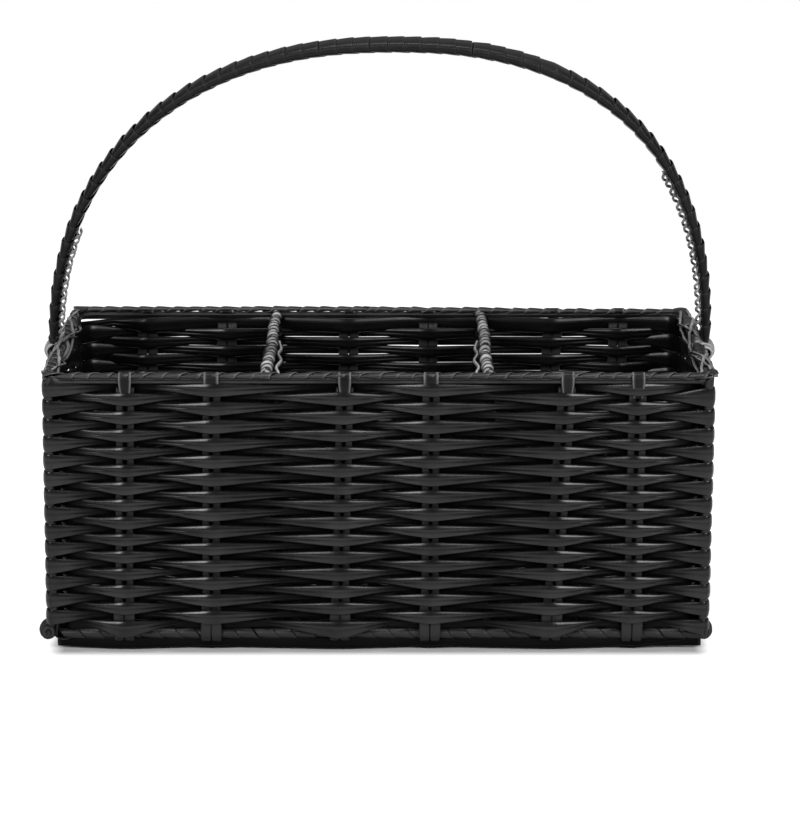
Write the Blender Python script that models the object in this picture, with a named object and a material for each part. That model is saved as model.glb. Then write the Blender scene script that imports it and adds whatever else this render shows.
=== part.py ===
# Woven cutlery caddy: three compartments of flat black strip woven on a wire frame,
# with a fixed arched handle from the middle of one end to the middle of the other.
# Units are metres, X runs along the length, Y from front to back, Z up.
# The origin is under the middle of the base, on the surface the caddy stands on.

import math

import bpy
from mathutils import Vector

# Body, measured between the stakes' axes
BODY_LENGTH = 0.3105
BODY_DEPTH = 0.1360
RIM_OVER_BASE_WIRE = 0.1277
DEPTH_TAPER = 0.0010

# Clearances
GAP = 0.0003
ROW_GAP = 0.0004
RIM_ROW_GAP = 0.0011

# Woven strip
STRIP_THICKNESS = 0.0022
ROW_COUNT = 28
BASE_ROW_COUNT = 9

# Stakes: doubled rods, single corner posts
ROD_RADIUS = 0.0018
PAIR_HALF_WIDTH = 0.00295
ROD_SIDES = 6
END_STAKE_SHARE = 0.262
END_BOW_SHARE = 0.35

# Cross stakes stand at these places along the body and lean a little between them
CROSS_STAKE_TOP_SHARES = (-0.388, -0.256, -0.052, 0.080, 0.289, 0.397)
CROSS_STAKE_FOOT_SHARES = (-0.399, -0.263, -0.062, 0.079, 0.268, 0.395)

# Rim and base rings
RIM_WIRE_RADIUS = 0.0015
RIM_WRAP_RADIUS = 0.0026
RIM_LOOP_RISE = 0.0007
RIM_OUTSET = 0.0010
RIM_CORNER_RADIUS = 0.0080
BASE_WIRE_RADIUS = 0.0024
BASE_WIRE_OUTSET = 0.0020
BASE_CORNER_RADIUS = 0.0040
RING_SIDES = 6
CORNER_STEPS = 4

# Handle
HANDLE_RISE = 0.1505
HANDLE_LEAN = 0.0085
HANDLE_SQUARENESS_SHARE = 0.87
HANDLE_WIRE_RADIUS = 0.0011
HANDLE_WIRE_HALF_SPACING = 0.0059
HANDLE_WIRE_CLEARANCE = 0.00025
HANDLE_WRAP_THICKNESS = 0.0008
HANDLE_WRAP_STEP = 0.00028
HANDLE_TURN_PITCH = 0.0087
HANDLE_EDGE_SHARE = 0.94
HANDLE_WIRE_SIDES = 5
HANDLE_WIRE_STEPS = 34
HANDLE_FINE_STEPS = 1200

# Dividers
DIVIDER_SHARES = (-0.173, 0.168)
DIVIDER_ROD_RADIUS = 0.00125
DIVIDER_MIDDLE_ROD_SHARE = 0.98
DIVIDER_TURN_PITCH = 0.0096
DIVIDER_WRAP_STEP = 0.0003
DIVIDER_EDGE_SHARE = 0.92

# Base
BASE_BAR_RADIUS = 0.00125

# Bends: a turn sharper than the share is not stretched any further
STRAIGHT_SHARE = 1e-9
SHARPEST_TURN_SHARE = 0.5
OFFSET_ROUNDS = 8
DIAGONAL_SHARE = math.sqrt(2)
SMOOTH_ANGLE = math.radians(40)
TURN_SMOOTH_ANGLE = math.radians(30)
AXIS_X = Vector((1, 0, 0))
AXIS_Y = Vector((0, 1, 0))
AXIS_Z = Vector((0, 0, 1))

# The bend of a cross stake round the base wire has this many steps
BEND_STEPS = 2
BEND_HALF_STEP = math.pi / 2 / BEND_STEPS / 2
BEND_RADIUS = (ROD_RADIUS + GAP + BASE_WIRE_RADIUS) / math.cos(BEND_HALF_STEP)

# Heights
BASE_ROD_Z = STRIP_THICKNESS + GAP + ROD_RADIUS
BASE_WIRE_Z = BASE_ROD_Z + BEND_RADIUS
RIM_Z = BASE_WIRE_Z + RIM_OVER_BASE_WIRE
RIM_LOOP_RADIUS = RIM_WRAP_RADIUS + RIM_LOOP_RISE
STAKE_TOP_Z = RIM_Z - RIM_LOOP_RADIUS - GAP - ROD_RADIUS
BASE_WIRE_TOP_Z = BASE_WIRE_Z + BASE_WIRE_RADIUS
WEAVE_TOP_Z = RIM_Z - RIM_WRAP_RADIUS - RIM_ROW_GAP
WEAVE_HEIGHT = WEAVE_TOP_Z - BASE_WIRE_TOP_Z - ROW_GAP
STRIP_HEIGHT = (WEAVE_HEIGHT + ROW_GAP) / ROW_COUNT - ROW_GAP
ROW_PITCH = STRIP_HEIGHT + ROW_GAP

# Distance that a strip keeps from the axis of what it passes
STRIP_REACH = ROD_RADIUS + GAP + STRIP_THICKNESS / 2
HANDLE_STRIP_REACH = HANDLE_WIRE_RADIUS + GAP + STRIP_THICKNESS / 2
DIVIDER_STRIP_REACH = DIVIDER_ROD_RADIUS + GAP + STRIP_THICKNESS / 2

# Plan positions
HALF_LENGTH = BODY_LENGTH / 2
HALF_DEPTH = BODY_DEPTH / 2
END_STAKE_Y = BODY_DEPTH * END_STAKE_SHARE
RIM_HALF_LENGTH = HALF_LENGTH + RIM_OUTSET
RIM_HALF_DEPTH = HALF_DEPTH + RIM_OUTSET
BASE_HALF_LENGTH = HALF_LENGTH + BASE_WIRE_OUTSET
BASE_HALF_DEPTH = HALF_DEPTH - DEPTH_TAPER - BEND_RADIUS
HANDLE_BORE_HALF_THICKNESS = HANDLE_WIRE_RADIUS + HANDLE_WIRE_CLEARANCE
HANDLE_HALF_THICKNESS = HANDLE_BORE_HALF_THICKNESS + HANDLE_WRAP_THICKNESS
HANDLE_BORE_HALF_WIDTH = HANDLE_WIRE_HALF_SPACING + HANDLE_BORE_HALF_THICKNESS * DIAGONAL_SHARE
HANDLE_HALF_WIDTH = HANDLE_BORE_HALF_WIDTH + HANDLE_WRAP_THICKNESS * DIAGONAL_SHARE
HANDLE_HALF_SPAN = RIM_HALF_LENGTH + RIM_WRAP_RADIUS + GAP + HANDLE_HALF_THICKNESS
HANDLE_STAKE_HALF_WIDTH = HANDLE_WIRE_HALF_SPACING + HANDLE_WIRE_RADIUS
END_BOW = HANDLE_HALF_SPAN - HALF_LENGTH

# Bays, from one stake's axis to the next
CROSS_STAKE_SHARES = (CROSS_STAKE_TOP_SHARES, CROSS_STAKE_FOOT_SHARES)
WIDEST_SHARE = max(abs(share) for shares in CROSS_STAKE_SHARES for share in shares)
CLOSEST_SHARE = min(b - a for shares in CROSS_STAKE_SHARES for a, b in zip(shares, shares[1:]))
WALL_END_BAY = HALF_LENGTH - BODY_LENGTH * WIDEST_SHARE
WALL_PAIR_BAY = BODY_LENGTH * CLOSEST_SHARE
HANDLE_BAY = END_STAKE_Y - HANDLE_STAKE_HALF_WIDTH
CORNER_BAY = HALF_DEPTH - END_STAKE_Y


def pair_strip_offset(bay, far_offset=None):
    """How far a strip's middle stands off a pair that it crosses on a slant.

    Without a far offset, the bay's other end has a pair too.
    """
    offset = STRIP_REACH
    for _ in range(OFFSET_ROUNDS):
        slope = (offset + (offset if far_offset is None else far_offset)) / bay
        offset = STRIP_REACH * math.hypot(1, slope) + PAIR_HALF_WIDTH * slope
    return offset


def corner_strip_offset(bay, reach, far_offset):
    """How far out a strip turns, so that both its sides clear the rod inside the turn."""
    return reach * (bay + 2 * far_offset) / (bay - far_offset)


def post_strip_offset(bay, far_offset):
    """How far a strip stands off a corner post, which it passes in two half turns."""
    offset = STRIP_REACH
    for _ in range(OFFSET_ROUNDS):
        slope = (offset + far_offset) / bay
        past = STRIP_REACH * DIAGONAL_SHARE - offset
        offset = STRIP_REACH * math.hypot(1, slope) + max(past, 0) * slope
    return offset


BOW_REACH = STRIP_REACH + END_BOW * (1 - END_BOW_SHARE)
WALL_END_OFFSET = pair_strip_offset(WALL_END_BAY, STRIP_REACH)
WALL_STRIP_OFFSET = max(WALL_END_OFFSET, pair_strip_offset(WALL_PAIR_BAY))
END_STRIP_OFFSET = pair_strip_offset(HANDLE_BAY, BOW_REACH)
POST_STRIP_OFFSET = post_strip_offset(CORNER_BAY, END_STRIP_OFFSET)
POST_STRIP_PAST = STRIP_REACH * DIAGONAL_SHARE - POST_STRIP_OFFSET + GAP


def clear_scene():
    for item in list(bpy.data.objects):
        bpy.data.objects.remove(item, do_unlink=True)


def make_material(name, colour, roughness, metallic):
    material = bpy.data.materials.new(name)
    material.use_nodes = True
    shader = material.node_tree.nodes["Principled BSDF"]
    shader.inputs["Base Color"].default_value = (*colour, 1.0)
    shader.inputs["Roughness"].default_value = roughness
    shader.inputs["Metallic"].default_value = metallic
    material.diffuse_color = (*colour, 1.0)
    return material


def make_object(name, points, faces, material):
    mesh = bpy.data.meshes.new(name)
    mesh.from_pydata([tuple(point) for point in points], [], faces)
    mesh.materials.append(material)
    mesh.update()
    item = bpy.data.objects.new(name, mesh)
    bpy.context.scene.collection.objects.link(item)
    return item


def side_faces(first, second, sides):
    """Quads between two rings of points, given the index of each ring's first point."""
    quads = []
    for side in range(sides):
        following = (side + 1) % sides
        quads.append((first + side, first + following, second + following, second + side))
    return quads


def loft(name, rings, material, closed=False):
    """A solid through rings of points: a closed hoop, or a bar with flat ends."""
    sides = len(rings[0])
    points = [point for ring in rings for point in ring]
    faces = []
    for index in range(len(rings) - 1):
        faces += side_faces(index * sides, (index + 1) * sides, sides)
    last = (len(rings) - 1) * sides
    if closed:
        faces += side_faces(last, 0, sides)
    else:
        faces.append(tuple(range(sides))[::-1])
        faces.append(tuple(range(last, last + sides)))
    item = make_object(name, points, faces, material)
    face_outwards(item)
    return item


def sleeve(name, outer, inner, material):
    """A tube with open ends, from rings round its outside and rings round its bore."""
    sides = len(outer[0])
    points = [point for ring in outer + inner for point in ring]
    bore = len(outer) * sides
    faces = []
    for index in range(len(outer) - 1):
        faces += side_faces(index * sides, (index + 1) * sides, sides)
    for index in range(len(inner) - 1):
        start = bore + index * sides
        faces += [quad[::-1] for quad in side_faces(start, start + sides, sides)]
    faces += side_faces(bore, 0, sides)
    outer_end = bore - sides
    inner_end = bore + (len(inner) - 1) * sides
    faces += side_faces(outer_end, inner_end, sides)
    item = make_object(name, points, faces, material)
    face_outwards(item)
    return item


def signed_volume(mesh):
    total = 0.0
    for face in mesh.polygons:
        corners = [mesh.vertices[index].co for index in face.vertices]
        for index in range(1, len(corners) - 1):
            total += corners[0].dot(corners[index].cross(corners[index + 1]))
    return total


def face_outwards(item):
    if signed_volume(item.data) < 0:
        item.data.flip_normals()


def smooth(item, angle=SMOOTH_ANGLE):
    item.data.shade_smooth()
    item.data.set_sharp_from_angle(angle=angle)
    return item


def tangents(path, closed):
    """For each point: the direction in, the direction out and their mean."""
    count = len(path)
    found = []
    for index in range(count):
        before = path[index - 1] if closed or index > 0 else None
        after = path[(index + 1) % count] if closed or index < count - 1 else None
        into = (path[index] - before).normalized() if before is not None else None
        out = (after - path[index]).normalized() if after is not None else None
        into = out if into is None else into
        out = into if out is None else out
        found.append((into, out, (into + out).normalized()))
    return found


def mitred(offset, into, out, mean):
    """Stretches an offset along the bend, so that the swept piece keeps its thickness."""
    bend = out - into
    if bend.length < STRAIGHT_SHARE:
        return offset
    bend.normalize()
    stretch = 1 / max(mean.dot(out), SHARPEST_TURN_SHARE)
    return offset + bend * (offset.dot(bend) * (stretch - 1))


def rod_rings(path, radius, sides, closed=False, start=AXIS_X):
    """Rings of a round rod along a path, without twist."""
    rings = []
    side = start
    for point, (into, out, mean) in zip(path, tangents(path, closed)):
        side = (side - mean * side.dot(mean)).normalized()
        other = mean.cross(side)
        ring = []
        for corner in range(sides):
            angle = 2 * math.pi * (corner + 1 / 2) / sides
            offset = side * math.cos(angle) + other * math.sin(angle)
            ring.append(point + mitred(offset * radius, into, out, mean))
        rings.append(ring)
    return rings


def strip_rings(path, half_widths, closed=False, flat=False):
    """Rings of a strip along a path. It stands on edge, or lies flat, and never twists."""
    half = STRIP_THICKNESS / 2
    plan = [Vector((point.x, point.y, 0)) for point in path]
    rings = []
    for point, width, (into, out, mean) in zip(path, half_widths, tangents(plan, closed)):
        beside = AXIS_Z.cross(mean)
        wide, thin = (beside, AXIS_Z) if flat else (AXIS_Z, beside)
        ring = []
        for wide_sign, thin_sign in ((1, 1), (-1, 1), (-1, -1), (1, -1)):
            offset = wide * (wide_sign * width) + thin * (thin_sign * half)
            ring.append(point + mitred(offset, into, out, mean))
        rings.append(ring)
    return rings


def level_of(z):
    return (z - BASE_WIRE_Z) / RIM_OVER_BASE_WIRE


def half_depth_at(z):
    return HALF_DEPTH - DEPTH_TAPER * (1 - level_of(z))


def handle_leg_x(z):
    """The handle's wires splay outwards from the base wire to the rim."""
    return HALF_LENGTH + (HANDLE_HALF_SPAN - HALF_LENGTH) * level_of(z)


def end_stake_x(z):
    return HALF_LENGTH + END_BOW_SHARE * (handle_leg_x(z) - HALF_LENGTH)


def cross_stake_xs(z):
    level = level_of(z)
    ends = zip(CROSS_STAKE_FOOT_SHARES, CROSS_STAKE_TOP_SHARES)
    return [BODY_LENGTH * (foot + (top - foot) * level) for foot, top in ends]


def row_z(row):
    return WEAVE_TOP_Z - STRIP_HEIGHT / 2 - row * ROW_PITCH


def weaver_path(row):
    """One closed row: out past one stake, in past the next, all the way round."""
    z = row_z(row)
    depth = half_depth_at(z)
    stakes = list(enumerate(cross_stake_xs(z)))
    outside = -1 if row % 2 else 1
    path = []

    def corner(x_sign, y_sign, side):
        if side < 0:
            inside = HALF_LENGTH - STRIP_REACH
            path.append(Vector((x_sign * inside, y_sign * (depth - STRIP_REACH), z)))
            return
        near = (HALF_LENGTH + POST_STRIP_PAST, depth + POST_STRIP_OFFSET)
        far = (HALF_LENGTH + POST_STRIP_OFFSET, depth + POST_STRIP_PAST)
        for x, y in (near, far) if x_sign * y_sign < 0 else (far, near):
            path.append(Vector((x_sign * x, y_sign * y, z)))

    def wall(x, y_sign, side):
        path.append(Vector((x, y_sign * (depth + side * WALL_STRIP_OFFSET), z)))

    def end(x_sign, side):
        pair_x = x_sign * (end_stake_x(z) - side * END_STRIP_OFFSET)
        handle_x = x_sign * (handle_leg_x(z) + side * HANDLE_STRIP_REACH)
        ys = (-END_STAKE_Y, -HANDLE_STAKE_HALF_WIDTH, HANDLE_STAKE_HALF_WIDTH, END_STAKE_Y)
        xs = (pair_x, handle_x, handle_x, pair_x)
        for x, y in zip(xs, ys) if x_sign > 0 else zip(xs[::-1], ys[::-1]):
            path.append(Vector((x, y, z)))

    corner(-1, -1, outside)
    for index, x in stakes:
        wall(x, -1, outside if index % 2 else -outside)
    corner(1, -1, -outside)
    end(1, -outside)
    corner(1, 1, -outside)
    for index, x in reversed(stakes):
        wall(x, 1, outside if index % 2 else -outside)
    corner(-1, 1, outside)
    end(-1, outside)
    return path


def build_weaver_rows(strip):
    for row in range(ROW_COUNT):
        path = weaver_path(row)
        rings = strip_rings(path, [STRIP_HEIGHT / 2] * len(path), closed=True)
        loft(f"weaver_row_{row + 1:02d}", rings, strip, closed=True)


def ring_path(half_length, half_depth, radius, z):
    """A rounded rectangle, anticlockwise from the middle of the front left corner."""
    path = []
    middle = CORNER_STEPS // 2
    corners = ((1, -1, -90), (1, 1, 0), (-1, 1, 90), (-1, -1, 180))
    for x_sign, y_sign, start in corners:
        for step in range(CORNER_STEPS + 1):
            angle = math.radians(start + 90 * step / CORNER_STEPS)
            x = x_sign * (half_length - radius) + radius * math.cos(angle)
            y = y_sign * (half_depth - radius) + radius * math.sin(angle)
            path.append(Vector((x, y, z)))
    turn = len(path) - middle - 1
    return path[turn:] + path[:turn]


def build_rings(wire, wrap):
    rim = ring_path(RIM_HALF_LENGTH, RIM_HALF_DEPTH, RIM_CORNER_RADIUS, RIM_Z)
    rings = rod_rings(rim, RIM_WIRE_RADIUS, RING_SIDES, closed=True, start=AXIS_Z)
    smooth(loft("rim_wire", rings, wire, closed=True))
    base = ring_path(BASE_HALF_LENGTH, BASE_HALF_DEPTH, BASE_CORNER_RADIUS, BASE_WIRE_Z)
    rings = rod_rings(base, BASE_WIRE_RADIUS, RING_SIDES, closed=True, start=AXIS_Z)
    smooth(loft("base_wire", rings, wrap, closed=True))


def shifted(ring, shift):
    return [corner + shift for corner in ring]


def rim_loop_places():
    """How far from the middle of each side the stakes' ends loop over the rim."""
    xs = cross_stake_xs(RIM_Z)
    ends = [-END_STAKE_Y, END_STAKE_Y]
    return {"front": xs, "right": ends, "back": [-x for x in reversed(xs)], "left": ends}


def raised_rings(first, second, places):
    """Rings of a rim wrap between two points, thicker at the places of the loops."""
    half = PAIR_HALF_WIDTH + ROD_RADIUS
    loop_profile = (
        (-half - RIM_LOOP_RISE, RIM_WRAP_RADIUS),
        (-half, RIM_LOOP_RADIUS),
        (half, RIM_LOOP_RADIUS),
        (half + RIM_LOOP_RISE, RIM_WRAP_RADIUS),
    )
    centre = (first + second) / 2
    along = (second - first).normalized()
    rings = []
    for place in places:
        for span, radius in loop_profile:
            point = centre + along * (place + span)
            rings += rod_rings([point, second], radius, RING_SIDES, start=AXIS_Z)[:1]
    return rings


def build_rim_wraps(wrap):
    """Four sleeves on the rim wire, with a small gap between them at the corners."""
    rim = ring_path(RIM_HALF_LENGTH, RIM_HALF_DEPTH, RIM_CORNER_RADIUS, RIM_Z)
    whole = rod_rings(rim, RIM_WRAP_RADIUS, RING_SIDES, closed=True, start=AXIS_Z)
    bore = rod_rings(rim, RIM_WIRE_RADIUS + GAP, RING_SIDES, closed=True, start=AXIS_Z)
    means = [mean for _, _, mean in tangents(rim, True)]
    per_side = CORNER_STEPS + 1
    middle = per_side // 2 + 1
    for index, (side, places) in enumerate(rim_loop_places().items()):
        corners = [(index * per_side + step) % len(rim) for step in range(per_side + 1)]
        outer = [whole[corner] for corner in corners]
        inner = [bore[corner] for corner in corners]
        for rings in (outer, inner):
            rings[0] = shifted(rings[0], means[corners[0]] * (GAP / 2))
            rings[-1] = shifted(rings[-1], means[corners[-1]] * (-GAP / 2))
        ends = (rim[corners[middle - 1]], rim[corners[middle]])
        outer[middle:middle] = raised_rings(*ends, places)
        smooth(sleeve(f"rim_wrap_{side}", outer, inner, wrap))


def build_corner_posts(rod):
    foot = BASE_WIRE_Z - BASE_WIRE_RADIUS
    top = RIM_Z - RIM_WRAP_RADIUS - GAP
    for x_sign, x_name in ((-1, "left"), (1, "right")):
        for y_sign, y_name in ((-1, "front"), (1, "back")):
            path = []
            for z in (foot, top):
                path.append(Vector((x_sign * HALF_LENGTH, y_sign * half_depth_at(z), z)))
            rings = rod_rings(path, ROD_RADIUS, ROD_SIDES)
            smooth(loft(f"corner_post_{y_name}_{x_name}", rings, rod))


def hairpin(centre, across, up):
    """Four points of a narrow turn from one rod of a pair to the other."""
    cut = PAIR_HALF_WIDTH / 2
    return [
        centre - across * PAIR_HALF_WIDTH - up * cut,
        centre - across * cut,
        centre + across * cut,
        centre + across * PAIR_HALF_WIDTH - up * cut,
    ]


def cross_stake_side(x, y_sign):
    """One rod of a cross stake, from the middle of the base out to a wall."""
    path = []
    for step in range(BEND_STEPS + 1):
        angle = math.pi / 2 * step / BEND_STEPS
        y = BASE_HALF_DEPTH + BEND_RADIUS * math.sin(angle)
        z = BASE_WIRE_Z - BEND_RADIUS * math.cos(angle)
        path.append(Vector((x, y_sign * y, z)))
    return path


def build_cross_stakes(rod):
    """Each goes up the front, under the base and up the back as two rods in one loop."""
    top_y = half_depth_at(STAKE_TOP_Z)
    ends = zip(cross_stake_xs(STAKE_TOP_Z), cross_stake_xs(BASE_WIRE_Z))
    for index, (top_x, foot_x) in enumerate(ends):
        left = foot_x - PAIR_HALF_WIDTH
        right = foot_x + PAIR_HALF_WIDTH
        path = hairpin(Vector((top_x, -top_y, STAKE_TOP_Z)), AXIS_X, AXIS_Z)
        path += cross_stake_side(right, -1)[::-1]
        path += cross_stake_side(right, 1)
        path += hairpin(Vector((top_x, top_y, STAKE_TOP_Z)), -AXIS_X, AXIS_Z)
        path += cross_stake_side(left, 1)[::-1]
        path += cross_stake_side(left, -1)
        rings = rod_rings(path, ROD_RADIUS, ROD_SIDES, closed=True, start=AXIS_Y)
        smooth(loft(f"cross_stake_{index + 1}", rings, rod, closed=True))


def build_end_stakes(rod):
    """Doubled rods in the end walls, between the base wire and the rim."""
    foot = BASE_WIRE_TOP_Z + GAP + ROD_RADIUS
    for x_sign, x_name in ((-1, "left"), (1, "right")):
        for y_sign, y_name in ((-1, "front"), (1, "back")):
            y = y_sign * END_STAKE_Y
            top = Vector((x_sign * end_stake_x(STAKE_TOP_Z), y, STAKE_TOP_Z))
            bottom = Vector((x_sign * end_stake_x(foot), y, foot))
            up = (top - bottom).normalized()
            path = hairpin(top, AXIS_Y, up) + hairpin(bottom, -AXIS_Y, -up)
            rings = rod_rings(path, ROD_RADIUS, ROD_SIDES, closed=True)
            smooth(loft(f"end_stake_{x_name}_{y_name}", rings, rod, closed=True))


def arch_point(angle):
    """A rounded arch that leans a little to the right at its crown."""
    level = abs(math.cos(angle)) ** HANDLE_SQUARENESS_SHARE
    across = math.copysign(level, math.cos(angle))
    rise = math.sin(angle) ** HANDLE_SQUARENESS_SHARE
    x = -HANDLE_HALF_SPAN * across + HANDLE_LEAN * rise * math.sqrt(rise)
    return Vector((x, 0, RIM_Z + HANDLE_RISE * rise))


def arch_path(count):
    """Points at even distances along the arch, and its length."""
    fine = HANDLE_FINE_STEPS
    points = [arch_point(math.pi * step / fine) for step in range(fine)]
    points.append(Vector((HANDLE_HALF_SPAN, 0, RIM_Z)))
    lengths = [0.0]
    for first, second in zip(points, points[1:]):
        lengths.append(lengths[-1] + (second - first).length)
    path = []
    index = 0
    for step in range(count + 1):
        want = lengths[-1] * step / count
        while index < fine - 1 and lengths[index + 1] < want:
            index += 1
        share = (want - lengths[index]) / (lengths[index + 1] - lengths[index])
        path.append(points[index].lerp(points[index + 1], min(max(share, 0), 1)))
    return path, lengths[-1]


def band_rings(path, half_width, half_thickness, shrink):
    """Rings of a flat band with rounded edges, drawn in by shrink at each point."""
    rings = []
    for point, less, (into, out, mean) in zip(path, shrink, tangents(path, False)):
        out_of_plane = mean.cross(AXIS_Y)
        width = half_width - less
        thick = half_thickness - less
        ring = []
        for wide, thin in (
            (width, 0),
            (width - thick, thick),
            (thick - width, thick),
            (-width, 0),
            (thick - width, -thick),
            (width - thick, -thick),
        ):
            offset = AXIS_Y * wide + out_of_plane * thin
            ring.append(point + mitred(offset, into, out, mean))
        rings.append(ring)
    return rings


def build_handle(wire, wrap):
    arch, length = arch_path(HANDLE_WIRE_STEPS)
    foot = BASE_WIRE_TOP_Z + GAP
    feet = [Vector((sign * handle_leg_x(foot), 0, foot)) for sign in (-1, 1)]
    for y_sign, name in ((-1, "front"), (1, "back")):
        shift = Vector((0, y_sign * HANDLE_WIRE_HALF_SPACING, 0))
        path = [point + shift for point in [feet[0]] + arch + [feet[1]]]
        rings = rod_rings(path, HANDLE_WIRE_RADIUS, HANDLE_WIRE_SIDES, start=AXIS_Y)
        smooth(loft(f"handle_wire_{name}", rings, wire))
    turns = round(length / HANDLE_TURN_PITCH)
    fine, _ = arch_path(turns)
    outer = []
    shrink = []
    for first, second in zip(fine, fine[1:]):
        outer += [first, first.lerp(second, HANDLE_EDGE_SHARE)]
        shrink += [0, HANDLE_WRAP_STEP]
    outer.append(fine[-1])
    shrink.append(0)
    outer_rings = band_rings(outer, HANDLE_HALF_WIDTH, HANDLE_HALF_THICKNESS, shrink)
    none = [0] * len(arch)
    inner_rings = band_rings(arch, HANDLE_BORE_HALF_WIDTH, HANDLE_BORE_HALF_THICKNESS, none)
    smooth(sleeve("handle_wrap", outer_rings, inner_rings, wrap), TURN_SMOOTH_ANGLE)


def weave_intrusion(x):
    """How far a wall's strips reach in from the stakes' plane, at most, at one place."""
    found = 0
    for z in (BASE_WIRE_Z, RIM_Z):
        places = [-HALF_LENGTH] + cross_stake_xs(z) + [HALF_LENGTH]
        for left, right in zip(places, places[1:]):
            if left <= x <= right:
                share = (x - left) / (right - left)
                found = max(found, WALL_STRIP_OFFSET * abs(1 - 2 * share))
    return found


def divider_end_y(x):
    """The last upright stands where the turning strip just clears the wall's strips."""
    half = DIVIDER_STRIP_REACH + STRIP_THICKNESS
    intrusion = max(weave_intrusion(x - half), weave_intrusion(x + half))
    wall = half_depth_at(BASE_WIRE_Z) - intrusion - STRIP_THICKNESS / 2 - GAP * 2
    corner = corner_strip_offset(wall, DIVIDER_STRIP_REACH, DIVIDER_STRIP_REACH)
    return wall - corner - STRIP_THICKNESS / 2


def join(target, pieces):
    """Fuses pieces with a union each. The pieces stay as hidden guides."""
    for piece in pieces:
        union = target.modifiers.new(f"join {piece.name}", "BOOLEAN")
        union.operation = "UNION"
        union.solver = "EXACT"
        union.object = piece
        piece.hide_render = True
        piece.display_type = "WIRE"


def divider_bar_rings(x):
    """Rings of a wrapped top bar between the rims, with a small step at each turn's edge."""
    bar_end = RIM_HALF_DEPTH - RIM_WRAP_RADIUS - GAP
    turns = round(2 * bar_end / DIVIDER_TURN_PITCH)
    lower = RIM_WRAP_RADIUS - DIVIDER_WRAP_STEP
    path = []
    radii = []
    for turn in range(turns):
        for share, radius in ((0, RIM_WRAP_RADIUS), (DIVIDER_EDGE_SHARE, lower)):
            y = bar_end * (2 * (turn + share) / turns - 1)
            path.append(Vector((x, y, RIM_Z)))
            radii.append(radius)
    path.append(Vector((x, bar_end, RIM_Z)))
    radii.append(RIM_WRAP_RADIUS)
    full = rod_rings(path, RIM_WRAP_RADIUS, RING_SIDES, start=AXIS_Z)
    rings = []
    for point, ring, radius in zip(path, full, radii):
        scale = radius / RIM_WRAP_RADIUS
        rings.append([point + (corner - point) * scale for corner in ring])
    return rings


def build_divider_frame(name, x, end_y, rod):
    """A wrapped bar, a rod bent to a U under it and an upright in its middle, welded."""
    foot = BASE_WIRE_TOP_Z + GAP + DIVIDER_ROD_RADIUS
    frame = loft(f"divider_{name}_frame", divider_bar_rings(x), rod)
    loop = [
        Vector((x, -end_y, RIM_Z)),
        Vector((x, -end_y, foot)),
        Vector((x, end_y, foot)),
        Vector((x, end_y, RIM_Z)),
    ]
    sides = loft(f"divider_{name}_uprights", rod_rings(loop, DIVIDER_ROD_RADIUS, ROD_SIDES), rod)
    middle = [Vector((x, 0, RIM_Z)), Vector((x, 0, foot))]
    middle_rings = rod_rings(middle, DIVIDER_ROD_RADIUS * DIVIDER_MIDDLE_ROD_SHARE, ROD_SIDES)
    centre = loft(f"divider_{name}_middle", middle_rings, rod)
    join(frame, [sides, centre])
    smooth(frame)


def build_divider_weaver(name, x, end_y, strip):
    """One strip to and fro, which turns round the outer uprights and swaps sides each row."""
    corner = corner_strip_offset(end_y, DIVIDER_STRIP_REACH, DIVIDER_STRIP_REACH)
    path = []
    side = 1
    for row in range(ROW_COUNT - 1):
        z = row_z(row)
        way = 1 if row % 2 == 0 else -1
        path.append(Vector((x + side * corner, -way * (end_y + corner), z)))
        path.append(Vector((x - side * DIVIDER_STRIP_REACH, 0, z)))
        path.append(Vector((x + side * corner, way * (end_y + corner), z)))
        side = -side
    rings = strip_rings(path, [STRIP_HEIGHT / 2] * len(path))
    loft(f"divider_{name}_weaver", rings, strip)


def base_strip_path(pitch, link_x, bar_x, bar_z):
    """To and fro along the base, over and under the stakes, and round the bars' far sides."""
    flat = PAIR_HALF_WIDTH + ROD_RADIUS
    bar_reach = BASE_BAR_RADIUS + GAP + STRIP_THICKNESS / 2
    past_bar = bar_x - BASE_BAR_RADIUS
    path = []
    side = 1
    for row in range(BASE_ROW_COUNT):
        y = (row + 1 / 2 - BASE_ROW_COUNT / 2) * pitch
        way = 1 if row % 2 == 0 else -1
        start_z = bar_z + side * bar_reach
        path += [Vector((-way * link_x, y, start_z)), Vector((-way * past_bar, y, start_z))]
        for x in cross_stake_xs(BASE_WIRE_Z)[::way]:
            side = -side
            z = BASE_ROD_Z + side * STRIP_REACH
            path += [Vector((x - way * flat, y, z)), Vector((x + way * flat, y, z))]
        side = -side
        end_z = bar_z + side * bar_reach
        path += [Vector((way * past_bar, y, end_z)), Vector((way * link_x, y, end_z))]
        side = -side
    return path


def build_base(rod, strip):
    """Bars under the ends of the base, and one strip woven to and fro along it."""
    inner_y = BASE_HALF_DEPTH - BASE_WIRE_RADIUS - GAP
    pitch = 2 * inner_y / BASE_ROW_COUNT
    width = pitch - ROW_GAP
    link_x = BASE_HALF_LENGTH - BASE_WIRE_RADIUS - GAP - width / 2
    bar_x = link_x - width / 2 - GAP - BASE_BAR_RADIUS
    bar_z = BASE_WIRE_Z - BASE_WIRE_RADIUS - GAP - BASE_BAR_RADIUS
    for sign, name in ((-1, "left"), (1, "right")):
        path = [Vector((sign * bar_x, y, bar_z)) for y in (-BASE_HALF_DEPTH, BASE_HALF_DEPTH)]
        smooth(loft(f"base_bar_{name}", rod_rings(path, BASE_BAR_RADIUS, ROD_SIDES), rod))
    path = base_strip_path(pitch, link_x, bar_x, bar_z)
    rings = strip_rings(path, [width / 2] * len(path), flat=True)
    loft("base_weaver", rings, strip)


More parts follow.
